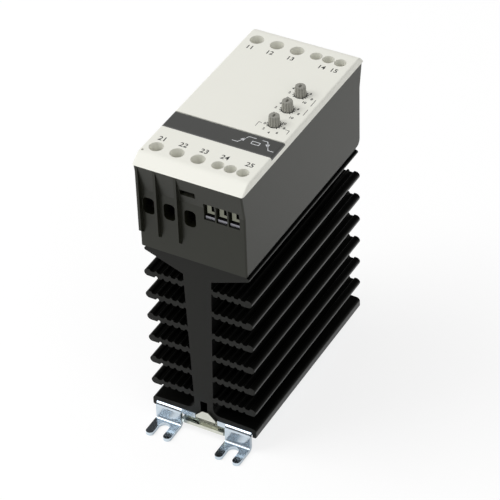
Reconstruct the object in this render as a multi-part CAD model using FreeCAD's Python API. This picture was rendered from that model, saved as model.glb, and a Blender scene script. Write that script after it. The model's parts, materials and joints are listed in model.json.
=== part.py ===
"""Solid state relay module with a finned heatsink, for a 35 mm rail or panel feet.

Frame: X is the module's width, Y its length and Z its depth away from the wall.
The near end, with the forked feet, is at -Y.  Z = 0 is the underside of the feet,
and X = Y = 0 is the middle of the heatsink.  All sizes are in millimetres.
"""

import FreeCAD
import Part
import math
import os

V = FreeCAD.Vector

# ---------------------------------------------------------------- general
past = 1.0                  # how far a cut runs past the surface it opens
edge_find = 0.01            # how near an edge has to lie to the place it is looked for
shank_lap = 0.3             # how far a shank runs up inside its head
terminal_cross_share = 0.7  # reach of a cross recess, of its head's radius
cross_share = 0.6           # the same in a screw without a slot

# ---------------------------------------------------------------- heatsink
module_half_width = 22.4    # of the heatsink's base, which the other pieces follow
sink_length = 87.1
sink_half_length = sink_length / 2
sink_height = 79.0          # from the base's underside to the seat of the housing
base_edge = 4.3
base_crown = 0.45           # rise of the base's top from its edge to the web
base_corner = 1.5
base_chamfer = 0.5
channel_depth = 2.6
channel_play = 0.2
web_half_top = 5.85
web_half_foot = 4.0
web_fillet = 3.0
screw_channel_half = 1.45
screw_channel_depth = 6.9   # above the bracket's plate
fin_overreach = 0.1         # of the fins' tips past the base
fin_half_span = module_half_width + fin_overreach
fin_thickness = 2.4
fin_wave = 0.8              # height of the corrugation
fin_wave_pitch = 2.9
fin_first_bump = 2.1        # from the fin's tip to the middle of its first bump
fin_root_flat = 1.6         # plain stretch beside the web
fin_flat = 0.6              # flat top of one bump
fin_flank = 0.45            # width of a bump's sloped side
fin_count = 6
fin_top_drop = 13.85        # from the seat down to the highest fin
fin_low_rise = 8.1          # from the base's edge up to the lowest fin
flange_setback = 0.6        # of the flange's tips behind the base's sides
flange_tip_half = module_half_width - flange_setback
flange_tip_drop = 1.9       # of the tips below the seat, a groove under the housing's rim
flange_tip_thickness = 1.6
flange_tip_radius = flange_tip_thickness / 2
flange_tip_flat = 0.2       # from the groove to the tip's rounding
flange_flat_half = flange_tip_half - flange_tip_radius - flange_tip_flat
flange_root_thickness = 9.1

# ---------------------------------------------------------------- sheet bracket
sheet = 1.5                 # thickness of the steel sheet
plate_underside = 7.3       # height of the plate over the wall, for a 7.5 mm deep rail
plate_inset = 1.9           # of the plate's sides inside the heatsink's
plate_half_width = module_half_width - plate_inset
plate_lead = 0.35           # of the plate past the heatsink's near end
plate_lap = 3.0             # of the plate with its bent ends
bend_radius = 0.7           # inside radius of the bends
bend_trim = 0.2             # the outside of a bend is this much tighter than the sheet
flange_gap = 0.1            # between the bent flange and the heatsink's end face
flange_face = sink_half_length + flange_gap
flange_front = flange_face + sheet
foot_length = 9.35          # from the flange to the foot tips
foot_reach = flange_front + foot_length
foot_width = 10.8
foot_side = 0.1             # from the plate's side to the foot's side
foot_centre_x = plate_half_width - foot_side - foot_width / 2
fork_slot_width = 4.4       # slides under an M4 screw
fork_slot_start = 1.45      # from the flange to the end of the U slot
fork_slot_end = flange_front + fork_slot_start
prong_corner = 1.5
far_foot_width = 16.0
far_foot_corner = 2.6
far_hole_radius = 2.4
far_hole_out = 4.75         # from the flange to the middle of the far foot's hole
far_hole_y = flange_front + far_hole_out

# ---------------------------------------------------------------- 35 mm rail
rail_width = 35.0
rail_half = rail_width / 2
rail_lip = 1.0              # thickness of the rail's edge
rail_play = 0.2
hook_grip = 2.2             # how far the hooks reach under the rail's edge
hook_width = 8.0
hook_inset = 8.5            # from the plate's side to the middle of a hook
hook_x = plate_half_width - hook_inset
hook_play = 0.3             # between the fixed hook and the rail's edge

# ---------------------------------------------------------------- rail latch
latch_sheet = 1.2
latch_foot_gap = 0.2        # between the latch's sides and the feet
latch_half_width = foot_centre_x - foot_width / 2 - latch_foot_gap
latch_grip = 1.6            # how far the latch reaches under the rail's edge
latch_travel = 3.0
latch_tongue = 1.2          # of the latch past the bracket plate's near edge
latch_step = 1.2            # from the latch's sheet down to its tongue
latch_step_setback = 1.05   # of the step's face behind the heatsink's near end
latch_lip_height = 1.5      # of the tongue's front edge, bent down
latch_lip_thickness = 1.0
latch_corner = 0.9          # of the tongue's two front corners
latch_shelf_gap = 0.2       # from the latch's shelf up to the heatsink
latch_tab_x = 1.0
latch_tab_gap = 0.15        # between the tab and the heatsink's end
latch_tab_thickness = 0.8
latch_tab_height = 4.3      # above the plate's underside
latch_tab_shoulder = 1.5    # above the plate's underside
latch_tab_half_base = 4.2
latch_tab_half_top = 1.25
mouth_play = 0.6            # of the latch's tab in the plate's notch
mouth_play_behind = 0.3     # of the latch's riser in the plate's notch
mouth_depth = latch_step_setback + latch_sheet + mouth_play_behind
edge_lip_thickness = 1.0    # of the plate's near edge, bent down between the feet
edge_lip_gap = 0.3          # from the bent edge down to the latch
edge_lip_relief = 0.3       # from the bent edge to the feet
latch_side_play = 0.3
latch_under_play = 0.2
latch_stop_play = 0.1       # between the spring tab and the latch's window at rest
latch_window_play = 0.5
guide_lip = 2.0
guide_setback = 3.55        # of the guides behind the heatsink's near end
guide_start = -(sink_half_length - guide_setback)
guide_rail_gap = 4.5        # from the rail's edge to the guides
guide_end = -(rail_half + guide_rail_gap)
spring_tab_half = 2.5
spring_tab_bottom = 1.0
spring_fixed_y = guide_start
spring_rail_gap = 5.1       # from the rail's edge to the latch's spring tab
spring_moving_y = -(rail_half + spring_rail_gap)
spring_mean_radius = 1.5
spring_wire_radius = 0.25
spring_turns = 9
spring_end_gap = 0.05
spring_under_gap = 0.2      # between the coil and the latch plate

# ---------------------------------------------------------------- housing
housing_side_inset = 0.5    # of the housing's sides inside the heatsink's
housing_half_width = module_half_width - housing_side_inset
housing_overhang = 1.65     # of the housing's ends past the heatsink's
housing_half_length = sink_half_length + housing_overhang
housing_height = 37.35
flare_height = 11.2         # of the flared top part
flare = 2.0                 # how far each end leans out up to the cover
wall = 1.2
housing_corner = 0.7
housing_far_round = 3.0     # lower corners of the far end
rib_thickness = 1.0
rib_start = 6.4             # height of the rib's foot above the heatsink
rib_foot_rise = 1.8         # of the foot's sloped underside out to the rib's front
rib_side_inset = 0.7
rib_shift = 0.25            # of a rib to the left of the middle between two terminals

# ---------------------------------------------------------------- front cover
cover_overhang = 0.6        # of the cover's sides past the housing's
cover_half_width = housing_half_width + cover_overhang
cover_half_length = housing_half_length + flare
cover_height = 3.25
cover_near_slope = 4.9      # length of the sloped near end
cover_far_slope = 3.0
cover_crease = 4.0          # rounding between the top and a sloped end
cover_wall = 1.6
cover_edge = 0.8            # rounding of the side edges
cover_inner_edge = 0.2      # height of the upright edge inside the sloped end
lip_depth = 2.0
lip_thickness = 1.0
lip_play = 0.15
stripe_near = -25.77
stripe_width = 10.3
stripe_far = stripe_near + stripe_width
stripe_thickness = 1.2
dimple_side = 1.35          # from the cover's side
dimple_end = 6.0            # from the cover's near edge
dimple_radius = 0.5
dimple_depth = 0.3

# ---------------------------------------------------------------- snap hooks
snap_x = -0.65
snap_window_width = 6.1
snap_window_height = 2.5
snap_block_gap = 0.1        # from the terminal block up to the window
snap_side_play = 0.3
snap_thickness = 1.1
snap_inset = 2.4            # of the tongue behind the housing's straight wall
snap_reach = 2.4            # of the nose out from the tongue
snap_lip = 0.4              # thickness of the nose at its tip
snap_play = 0.15

# ---------------------------------------------------------------- terminal blocks
block_drop = 7.95           # from the cover down to the blocks' tops
block_top = housing_height - block_drop
block_height = 16.6
block_low = block_top - block_height
block_depth = 12.5          # from the housing's end inwards
block_inner = housing_half_length - block_depth
shoulder = 1.1
tube_gap = 0.2
screw_setback = 7.5         # from the housing's end to the screws
screw_row = housing_half_length - screw_setback
screw_play = 0.05
driver_play = 0.3           # round a screw head in its guide
cross_width = 0.8
cross_depth = 1.2
slot_width = 0.9
slot_depth = 1.0
terminal_side = 4.4         # from the housing's side to the outer screws

# ---------------------------------------------------------------- control terminals
control_pitch = 5.0
control_count = 3
control_first_x = housing_half_width - terminal_side - (control_count - 1) * control_pitch
control_hole_drop = 1.2     # from the block's top to the opening
control_hole_height = 7.2
control_hole_width = 4.4
control_cage_half = 1.9
control_cage_wall = 0.45
control_cage_floor = 2.2
control_cage_cap = 0.95
control_jaw_setback = 0.65  # of the jaw's front behind the housing's end
control_cage_near = housing_half_length - control_jaw_setback
control_ring_front = 2.2    # from the screw to the front of the cage's ring
control_ring_near = screw_row + control_ring_front
control_ring_back = 2.5
control_cage_far = screw_row - control_ring_back
control_pocket_play = 0.12
control_jaw_play = 0.1
control_screw_radius = 1.25
control_screw_clear = 0.2
control_head_radius = 2.05
control_head_height = 1.8
control_tube_radius = control_head_radius + driver_play
control_tube_wall = 0.8
control_strip_thickness = 1.0
control_strip_half = 1.3
control_cage_drop = 2.0     # the cage's travel down from rest
control_cage_rise = 0.3     # and up from rest
control_gap = 1.0           # between the jaw and the contact at rest
control_cap_gap = 0.45
control_top_play = 0.15     # over the risen cage
control_cage_stroke = control_cage_drop + control_cage_rise
control_strip_drop = (shoulder + control_top_play + control_cage_stroke
                      + control_cage_cap + control_cap_gap + control_strip_thickness)
nose_setback = 0.5          # of the contact's nose behind the jaw's front
nose_near = control_cage_near - nose_setback
nose_thickness = 0.8
nose_bar_left = -1.4
nose_bar_right = 0.35
nose_foot_right = 1.65
nose_foot_height = 1.2
nose_top_play = 0.2

# ---------------------------------------------------------------- power terminals
terminal_gap = 8.0          # between the last power screw and the first control screw
power_count = 3
power_first_x = terminal_side - housing_half_width
power_last_x = control_first_x - terminal_gap
power_pitch = (power_last_x - power_first_x) / (power_count - 1)
power_divider = 1.56        # wall between two pockets
power_pocket_play = 0.12
power_cage_half = (power_pitch - power_divider) / 2 - power_pocket_play
power_cage_wall = 0.9
power_cage_floor = 1.2
power_cage_cap = 1.5
power_cage_half_length = 3.6
power_cage_near = screw_row + power_cage_half_length
power_cage_far = screw_row - power_cage_half_length
power_hole_inset = 1.0      # of the wire hole inside the cage's side
power_hole_width = 2 * (power_cage_half - power_hole_inset)
power_hole_height = 7.1
power_hole_flat = 1.4       # straight stretch between two rounded corners
power_hole_corner = (power_hole_width - power_hole_flat) / 2
power_hole_drop = 10.2      # from the block's top to the middle of the hole
power_screw_radius = 2.0
power_screw_clear = 0.25
power_head_radius = 2.45
power_head_height = 2.4
power_tube_radius = power_head_radius + driver_play
power_tube_wall = 0.8
power_strip_thickness = 1.2
power_strip_side = 0.25     # between the tongue and the cage's sides
power_strip_half = power_cage_half - power_cage_wall - power_strip_side
power_strip_setback = 0.3
power_strip_end = power_cage_near - power_strip_setback
power_cage_gap = 0.3        # between the tongue and the cage's cap at rest
power_wire_gap = 5.2        # open height between the tongue and the cage's floor
power_cage_rise = 4.375     # the cage's travel up from rest
power_top_play = 0.325      # over the risen cage
power_strip_drop = (shoulder + power_top_play + power_cage_rise + power_cage_cap
                    + power_cage_gap + power_strip_thickness)
cage_floor_play = 0.2       # under a cage in its pocket

# ---------------------------------------------------------------- boards
board = 1.6
board_side_play = 0.25
board_end_gap = 1.1
board_half_length = block_inner - board_end_gap
board_block_gap = 1.0       # between the power board and the blocks above it
power_board_low = block_low - board_block_gap - board
control_board_drop = 11.0   # from the cover down to the control board
control_board_low = housing_height - control_board_drop
ledge_width = 1.7
ledge_thickness = 1.5
ledge_setback = 4.6         # of the ledges behind the boards' ends
ledge_half_length = board_half_length - ledge_setback
pin_half = 0.45
pin_play = 0.2
pin_above = 0.6
contact_pin_inset = 1.6     # from the board's end
contact_pin_y = board_half_length - contact_pin_inset
riser_inset = 0.4           # from the board's end
riser_near = board_half_length - riser_inset
riser_thickness = 1.2
riser_tail = 0.6            # below the power board

# ---------------------------------------------------------------- trimmer knobs
knob_side = 8.1             # from the housing's side to the knobs
knob_x = housing_half_width - knob_side
knob_first_gap = 8.17       # from the stripe to the first knob
knob_first_y = stripe_far + knob_first_gap
knob_pitch = 10.15
knob_count = 3
knob_radius = 2.25          # at the foot
knob_top_radius = 1.95
knob_height = 4.0
knob_gap = 0.1
knob_flutes = 12
knob_flute_radius = 0.35
knob_recess_radius = 0.75
knob_recess_depth = 0.7
knob_mark_width = 0.5
knob_mark_depth = 0.4
knob_shaft_radius = 1.5
knob_hole_play = 0.25
trimmer_size = 6.6
trimmer_height = 4.5
trimmer_bore_depth = 1.6

# ---------------------------------------------------------------- power stage
m3_radius = 1.5
m3_hole = 1.55
m3_clear = 1.7
m3_head_radius = 2.75
m3_head_height = 2.0
m3_head_play = 0.15
pad_thickness = 0.3
pad_margin = 0.8
package_low_x = -11.0
package_high_x = 10.0
package_half = 8.0
package_gap = 1.0
package_pitch = 2 * package_half + package_gap
package_height = 4.6
lead_pitch = 5.45
lead_width = 1.2
lead_thickness = 0.6
lead_height = 2.1           # above the package's underside
lead_reach = 3.0
lead_root = 1.0             # inside the package
lead_hole_radius = 0.9
bar_half_width = 4.0
bar_sheet = 1.2
bar_gap = 0.6               # between the pad and the bar's upright walls
bar_wall_near = package_pitch + package_half + pad_margin + bar_gap + bar_sheet
bar_screw_y = bar_wall_near + m3_head_radius + m3_head_play
bar_foot_end = bar_screw_y + m3_head_radius + m3_head_play
bar_screw_length = 6.5
housing_foot_side = 5.2     # from the inner wall to the screw
housing_foot_setback = 15.2
housing_foot_y = housing_half_length - housing_foot_setback
housing_foot_half = 3.4
housing_foot_height = 2.5
housing_screw_length = 3.4
screw_tip_room = 1.0        # below the tip of a screw

# ---------------------------------------------------------------- power board parts
connector_half = 6.0
connector_inset = 4.0       # from the board's near end
connector_length = 2.6
connector_near = -(board_half_length - connector_inset)
connector_far = connector_near + connector_length
leg_half = 0.4
film_cap_x = -7.5
film_cap_width = 5.0
film_cap_length = 12.0
film_cap_height = 9.0
row_gap = 1.0               # between the connector and the first row of parts
row_pitch = -connector_far - row_gap - film_cap_length / 2
varistor_x = -15.0
varistor_radius = 4.5
varistor_thickness = 4.0
varistor_stand = 1.2
leg_spread = 2.5
resistor_x = -1.0
resistor_radius = 1.8
resistor_length = 9.0
resistor_stand = 0.5
resistor_leg_inset = 1.0
opto_x = 5.0
opto_width = 6.4
opto_length = 7.3
opto_height = 3.5

# ---------------------------------------------------------------- control board parts
part_side = 2.0             # from the board's side to the outer parts
chip_x = -3.5
chip_y = 2.0
chip_size = 9.0
chip_height = 1.4
transformer_end = 12.6      # from the board's far end to the transformer's middle
transformer_core = 12.0
transformer_core_height = 4.0
transformer_bobbin = 10.0
transformer_height = 8.5
relay_end = 7.3
relay_width = 10.0
relay_length = 6.5
relay_height = 5.4
capacitor_end = 9.6
capacitor_pitch = 5.4
capacitor_radius = 2.4
capacitor_height = 8.0
led_first_x = 6.0
led_pitch = 6.0
led_count = 2
led_radius = 1.5
led_height = 5.3

# ---------------------------------------------------------------- bracket screws
countersunk_radius = 2.6
countersunk_height = 1.2
countersunk_play = 0.05
countersunk_drive = 0.7     # depth of the cross
tapping_radius = 1.4
tapping_hole_play = 0.15
tapping_length = 6.0
bracket_screw_near = -8.0
bracket_screw_end = 13.55   # from the heatsink's far end
bracket_screw_far = sink_half_length - bracket_screw_end

# ---------------------------------------------------------------- derived levels
plate_top = plate_underside + sheet
base_bottom = plate_top - channel_depth
seat = base_bottom + sink_height
fin_top = seat - fin_top_drop
fin_low = base_bottom + base_edge + fin_low_rise
fin_pitch = (fin_top - fin_low) / (fin_count - 1)
junction = seat + housing_height
cover_top = junction + cover_height
hook_top = plate_underside - rail_lip - rail_play
latch_bottom = hook_top - latch_sheet
flare_level = junction - flare_height
block_level = seat + block_top
window_low = block_level + snap_block_gap
window_high = window_low + snap_window_height
power_board_level = seat + power_board_low
power_board_top = power_board_level + board
control_board_level = seat + control_board_low
control_board_top = control_board_level + board
inner_half_width = housing_half_width - wall
board_half_width = inner_half_width - board_side_play
housing_foot_x = inner_half_width - housing_foot_side
transformer_x = part_side + transformer_core / 2 - board_half_width
relay_x = board_half_width - part_side - relay_width / 2


# ---------------------------------------------------------------- shape helpers
def box(x0, x1, y0, y1, z0, z1):
    """A block between two corners."""
    return Part.makeBox(x1 - x0, y1 - y0, z1 - z0, V(x0, y0, z0))


def rod(x, y, radius, z0, z1):
    """An upright cylinder."""
    return Part.makeCylinder(radius, z1 - z0, V(x, y, z0), V(0, 0, 1))


def across(points, x0, x1):
    """A (y, z) outline stretched along X."""
    corners = [V(x0, y, z) for y, z in points]
    face = Part.Face(Part.makePolygon(corners + corners[:1]))
    return face.extrude(V(x1 - x0, 0, 0))


def joined(shapes):
    """Several touching or overlapping shapes as one solid."""
    first, *rest = shapes
    if not rest:
        return first
    return first.fuse(rest).removeSplitter()


def less(shape, cutters):
    """A shape with several others cut away."""
    return shape.cut(cutters).removeSplitter()


def far_copy(shape):
    """The same shape mirrored to the far end."""
    return shape.mirror(V(0, 0, 0), V(0, 1, 0))


def both_ends(shapes):
    """Near shapes together with their far copies."""
    return shapes + [far_copy(shape) for shape in shapes]


def rounded_along(shape, radius, chosen):
    """A fillet on the edges that the chosen function picks."""
    edges = [edge for edge in shape.Edges if chosen(edge)]
    return shape.makeFillet(radius, edges)


def group(solids):
    """Separate solids that share one node."""
    return Part.makeCompound(solids)


def power_places():
    return [power_first_x + k * power_pitch for k in range(power_count)]


def control_places():
    return [control_first_x + k * control_pitch for k in range(control_count)]


# ---------------------------------------------------------------- heatsink
class Outline:
    """A closed outline in the XZ plane, drawn edge by edge."""

    def __init__(self, x, z):
        self.start = V(x, 0, z)
        self.here = self.start
        self.edges = []

    def line(self, x, z):
        there = V(x, 0, z)
        if self.here.distanceToPoint(there) > edge_find:
            self.edges.append(Part.LineSegment(self.here, there).toShape())
            self.here = there

    def arc(self, middle_x, middle_z, x, z):
        there = V(x, 0, z)
        curve = Part.Arc(self.here, V(middle_x, 0, middle_z), there)
        self.edges.append(curve.toShape())
        self.here = there

    def solid(self, y0, y1):
        self.line(self.start.x, self.start.z)
        face = Part.Face(Part.Wire(self.edges))
        face.translate(V(0, y0, 0))
        return face.extrude(V(0, y1 - y0, 0))


def web_half(z):
    """Half width of the tapered web at a height."""
    low = base_bottom + base_edge + base_crown
    high = seat - flange_root_thickness
    share = (z - low) / (high - low)
    return web_half_foot + (web_half_top - web_half_foot) * share


def fin_edge(low, upper):
    """Points of one corrugated edge of a fin, from the web to the thick tip."""
    high = low + fin_wave
    half_flat = fin_flat / 2
    half_bump = half_flat + fin_flank
    first = fin_half_span - fin_first_bump
    tip_start = fin_half_span - (fin_thickness + fin_wave) / 2
    room = first - half_bump - web_half_top - fin_root_flat
    points = [(web_half(low), low)]
    for k in range(math.floor(room / fin_wave_pitch), 0, -1):
        bump = first - k * fin_wave_pitch
        points.append((bump - half_bump, low))
        points.append((bump - half_flat, high))
        points.append((bump + half_flat, high))
        points.append((bump + half_bump, low))
    if upper:
        points.append((first - half_bump, low))
        points.append((first - half_flat, high))
        points.append((tip_start, high))
    else:
        points.append((tip_start, low))
    return points


def right_half_of_sink():
    """The section from its middle line to +X, from the flange down to the base."""
    tip_top = seat - flange_tip_drop
    tip_low = tip_top - flange_tip_thickness
    tip_middle = flange_tip_half - flange_tip_radius
    path = Outline(0, seat)
    path.line(flange_flat_half, seat)
    path.line(flange_flat_half, tip_top)
    path.line(tip_middle, tip_top)
    path.arc(flange_tip_half, tip_top - flange_tip_radius, tip_middle, tip_low)
    path.line(web_half_top, seat - flange_root_thickness)
    for k in range(fin_count):
        tip_z = fin_top - k * fin_pitch
        lower_side = tip_z - (fin_thickness + fin_wave) / 2
        upper = fin_edge(lower_side + fin_thickness, True)
        lower = fin_edge(lower_side, False)
        for x, z in upper:
            path.line(x, z)
        path.arc(fin_half_span, tip_z, lower[-1][0], lower[-1][1])
        for x, z in reversed(lower):
            path.line(x, z)
    base_top = base_bottom + base_edge + base_crown
    foot = web_half_foot
    round_in = web_fillet * (1 - math.sqrt(0.5))
    path.line(foot, base_top + web_fillet)
    path.arc(foot + round_in, base_top + round_in, foot + web_fillet, base_top)
    corner = module_half_width - base_corner
    edge_top = base_bottom + base_edge
    slack = base_corner * (1 - math.sqrt(0.5))
    path.line(corner, edge_top)
    path.arc(module_half_width - slack, edge_top - slack, module_half_width, edge_top - base_corner)
    path.line(module_half_width, base_bottom + base_chamfer)
    path.line(module_half_width - base_chamfer, base_bottom)
    path.line(plate_half_width + channel_play, base_bottom)
    path.line(plate_half_width + channel_play, plate_top)
    path.line(screw_channel_half, plate_top)
    path.line(screw_channel_half, plate_top + screw_channel_depth)
    path.line(0, plate_top + screw_channel_depth)
    return path.solid(-sink_half_length, sink_half_length)


def make_heatsink():
    half = right_half_of_sink()
    other = half.mirror(V(0, 0, 0), V(1, 0, 0))
    body = joined([half, other])
    depth = bar_screw_length + screw_tip_room
    holes = [rod(0, y, m3_hole, seat - depth, seat + past) for y in (-bar_screw_y, bar_screw_y)]
    for x in (-housing_foot_x, housing_foot_x):
        for y in (-housing_foot_y, housing_foot_y):
            holes.append(rod(x, y, m3_hole, seat - flange_root_thickness, seat + past))
    return less(body, holes)


# ---------------------------------------------------------------- bracket
def at(point, y, z):
    """Whether a corner lies at a place seen along X."""
    return abs(point.y - y) < edge_find and abs(point.z - z) < edge_find


def bent_strip(x0, x1, inner_y, reach):
    """Plate end, vertical flange and foot of the near end, as one bent strip."""
    outer = bend_radius + sheet - bend_trim
    block = joined([
        box(x0, x1, -flange_front, -inner_y, plate_underside, plate_top),
        box(x0, x1, -flange_front, -flange_face, 0, plate_top),
        box(x0, x1, -reach, -flange_face, 0, sheet),
    ])

    def top_bend(edge):
        ends = [vertex.Point for vertex in edge.Vertexes]
        return all(at(p, -flange_front, plate_top) for p in ends)

    def heel(edge):
        ends = [vertex.Point for vertex in edge.Vertexes]
        return all(at(p, -flange_face, 0) for p in ends)

    def hollow(edge):
        ends = [vertex.Point for vertex in edge.Vertexes]
        toe = all(at(p, -flange_front, sheet) for p in ends)
        under = all(at(p, -flange_face, plate_underside) for p in ends)
        return toe or under

    block = rounded_along(block, outer, top_bend)
    block = rounded_along(block, outer, heel)
    return rounded_along(block, bend_radius, hollow)


def foot_corner(edge):
    """Whether an edge is an upright corner at the tip of a foot."""
    ends = [vertex.Point for vertex in edge.Vertexes]
    upright = abs(ends[0].z - ends[-1].z) > sheet / 2
    return upright and all(abs(p.y + foot_reach) < edge_find for p in ends)


def forked_foot(x):
    """One near foot with its U slot and rounded prongs."""
    half = foot_width / 2
    strip = bent_strip(x - half, x + half, sink_half_length - plate_lap - past, foot_reach)
    slot_radius = fork_slot_width / 2
    slot_centre = fork_slot_end + slot_radius
    slot = joined([
        rod(x, -slot_centre, slot_radius, -past, sheet + past),
        box(x - slot_radius, x + slot_radius, -foot_reach - past, -slot_centre, -past,
            sheet + past),
    ])

    return rounded_along(less(strip, [slot]), prong_corner, foot_corner)


def far_foot():
    """The single far foot with its round screw hole."""
    half = far_foot_width / 2
    strip = bent_strip(-half, half, sink_half_length - plate_lap - past, foot_reach)
    hole = rod(0, -far_hole_y, far_hole_radius, -past, sheet + past)
    return far_copy(rounded_along(less(strip, [hole]), far_foot_corner, foot_corner))


def rail_hooks():
    """Two fixed hooks that reach under the rail's far edge."""
    inside = rail_half + hook_play
    outside = inside + sheet
    tip = rail_half - hook_grip
    outline = [
        (inside, plate_underside),
        (outside, plate_underside),
        (outside, hook_top - sheet),
        (tip, hook_top - sheet),
        (tip, hook_top),
        (inside, hook_top),
    ]
    half = hook_width / 2
    return [across(outline, x - half, x + half) for x in (-hook_x, hook_x)]


def latch_guides():
    """Two rails bent down from the plate that carry the sliding latch."""
    inside = latch_half_width + latch_side_play
    outside = inside + latch_sheet
    lip_top = latch_bottom - latch_under_play
    lip_low = lip_top - latch_sheet
    guides = []
    for side in (-1, 1):
        wall_x = sorted((side * inside, side * outside))
        lip_x = sorted((side * (inside - guide_lip), side * outside))
        guides.append(box(*wall_x, guide_start, guide_end, lip_low, plate_underside))
        guides.append(box(*lip_x, guide_start, guide_end, lip_low, lip_top))
    return guides


def bent_edges(mouth_low, mouth_high):
    """The plate's near edge, bent down on both sides of the notch for the latch's tab."""
    edge = -sink_half_length - plate_lead
    side = foot_centre_x - foot_width / 2 - edge_lip_relief
    return [box(x0, x1, edge, edge + edge_lip_thickness, hook_top + edge_lip_gap, plate_top)
            for x0, x1 in ((-side, mouth_low), (mouth_high, side))]


def make_mounting_bracket():
    plate = box(-plate_half_width, plate_half_width, -sink_half_length - plate_lead,
                sink_half_length - plate_lap, plate_underside, plate_top)
    mouth_half = latch_tab_half_base + mouth_play
    mouth_low = latch_tab_x - mouth_half
    mouth_high = latch_tab_x + mouth_half
    mouth = box(mouth_low, mouth_high,
                -sink_half_length - plate_lead - past, -sink_half_length + mouth_depth,
                plate_underside - past, plate_top + past)
    spring_tab = box(-spring_tab_half, spring_tab_half, spring_fixed_y,
                     spring_fixed_y + latch_sheet, spring_tab_bottom, plate_underside)
    pieces = [plate, spring_tab, far_foot()]
    pieces += [forked_foot(x) for x in (-foot_centre_x, foot_centre_x)]
    pieces += rail_hooks()
    pieces += latch_guides()
    pieces += bent_edges(mouth_low, mouth_high)
    holes = [mouth]
    for y in (bracket_screw_near, bracket_screw_far):
        holes.append(rod(0, y, tapping_radius + tapping_hole_play, 0, plate_top + past))
        holes.append(countersink(y, countersunk_play))
    return less(joined(pieces), holes)


def countersink(y, play):
    """The cone of a countersunk head, flush with the plate's underside."""
    top = tapping_radius + play
    return Part.makeCone(countersunk_radius + play, top, countersunk_height,
                         V(0, y, plate_underside), V(0, 0, 1))


def make_bracket_screws():
    screws = []
    for y in (bracket_screw_near, bracket_screw_far):
        shank = rod(0, y, tapping_radius, plate_underside, plate_underside + tapping_length)
        drive_half = cross_width / 2
        reach = countersunk_radius * cross_share
        drive = [
            box(-reach, reach, y - drive_half, y + drive_half, 0,
                plate_underside + countersunk_drive),
            box(-drive_half, drive_half, y - reach, y + reach, 0,
                plate_underside + countersunk_drive),
        ]
        screws.append(less(joined([countersink(y, 0), shank]), drive))
    return group(screws)


# ---------------------------------------------------------------- rail latch
def tongue_corner(edge):
    """Whether an edge is an upright corner at the latch's near end."""
    ends = [vertex.Point for vertex in edge.Vertexes]
    front_y = -(sink_half_length + plate_lead + latch_tongue)
    upright = abs(ends[0].z - ends[-1].z) > edge_find
    return upright and all(abs(p.y - front_y) < edge_find for p in ends)


def latch_sheet_and_tongue():
    """The sliding sheet, stepped down to a tongue with a bent front edge."""
    front_y = -(sink_half_length + plate_lead + latch_tongue)
    step_y = -(sink_half_length - latch_step_setback)
    hook_end = -(rail_half - latch_grip)
    half = latch_half_width
    tongue_top = hook_top - latch_step
    lip_low = tongue_top - latch_lip_height
    block = box(-half, half, front_y, step_y + latch_sheet, lip_low, tongue_top)
    under = box(-half - past, half + past, front_y + latch_lip_thickness,
                step_y + latch_sheet + past, lip_low - past, tongue_top - latch_sheet)
    tongue = less(rounded_along(block, latch_corner, tongue_corner), [under])
    step = box(-half, half, step_y, step_y + latch_sheet, tongue_top - latch_sheet, hook_top)
    sheet_plate = box(-half, half, step_y, hook_end, latch_bottom, hook_top)
    return [tongue, step, sheet_plate]


def latch_tab():
    """A riser and a shelf through the notch, and the tab before the heatsink's end."""
    low_x = latch_tab_x - latch_tab_half_base
    high_x = latch_tab_x + latch_tab_half_base
    step_y = -(sink_half_length - latch_step_setback)
    tab_y = -(sink_half_length + latch_tab_gap + latch_tab_thickness)
    shelf_top = plate_top - latch_shelf_gap
    shelf_low = shelf_top - latch_tab_thickness
    riser = box(low_x, high_x, step_y, step_y + latch_sheet, latch_bottom, shelf_top)
    shelf = box(low_x, high_x, tab_y, step_y + latch_sheet, shelf_low, shelf_top)
    tab_shoulder = plate_underside + latch_tab_shoulder
    tab_top = plate_underside + latch_tab_height
    outline = [
        (-latch_tab_half_base, shelf_low),
        (latch_tab_half_base, shelf_low),
        (latch_tab_half_base, tab_shoulder),
        (latch_tab_half_top, tab_top),
        (-latch_tab_half_top, tab_top),
        (-latch_tab_half_base, tab_shoulder),
    ]
    corners = [V(latch_tab_x + x, tab_y, z) for x, z in outline]
    face = Part.Face(Part.makePolygon(corners + corners[:1]))
    return [riser, shelf, face.extrude(V(0, latch_tab_thickness, 0))]


def make_rail_latch():
    moving_tab = box(-spring_tab_half, spring_tab_half, spring_moving_y,
                     spring_moving_y + latch_sheet, spring_tab_bottom, latch_bottom)
    window_half = spring_tab_half + latch_window_play
    window = box(-window_half, window_half, spring_fixed_y - latch_stop_play,
                 spring_fixed_y + latch_sheet + latch_travel + latch_side_play,
                 latch_bottom - past, hook_top + past)
    sheets = latch_sheet_and_tongue() + latch_tab()
    return less(joined(sheets + [moving_tab]), [window])


def make_latch_spring():
    """A compression spring between the bracket's tab and the latch's tab."""
    start = spring_fixed_y + latch_sheet + spring_wire_radius + spring_end_gap
    end = spring_moving_y - spring_wire_radius - spring_end_gap
    pitch = (end - start) / spring_turns
    helix = Part.makeHelix(pitch, end - start, spring_mean_radius)
    wire = Part.makeCircle(spring_wire_radius, V(spring_mean_radius, 0, 0), V(0, 1, 0))
    path = Part.Wire(helix.Edges)
    coil = path.makePipeShell([Part.Wire([wire])], True, True)
    coil.rotate(V(0, 0, 0), V(1, 0, 0), -90)
    middle = latch_bottom - spring_mean_radius - spring_wire_radius - spring_under_gap
    coil.translate(V(0, start, middle))
    return coil


# ---------------------------------------------------------------- housing
def housing_outline(inset, top_extra):
    """The (y, z) outline of the housing, moved inwards by a wall thickness."""
    half = housing_half_length - inset
    upper = half + flare * (1 + top_extra / flare_height)
    top = junction + top_extra
    low = seat - (past if inset else 0)
    return [
        (-half, low),
        (half, low),
        (half, flare_level),
        (upper, top),
        (-upper, top),
        (-half, flare_level),
    ]


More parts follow.
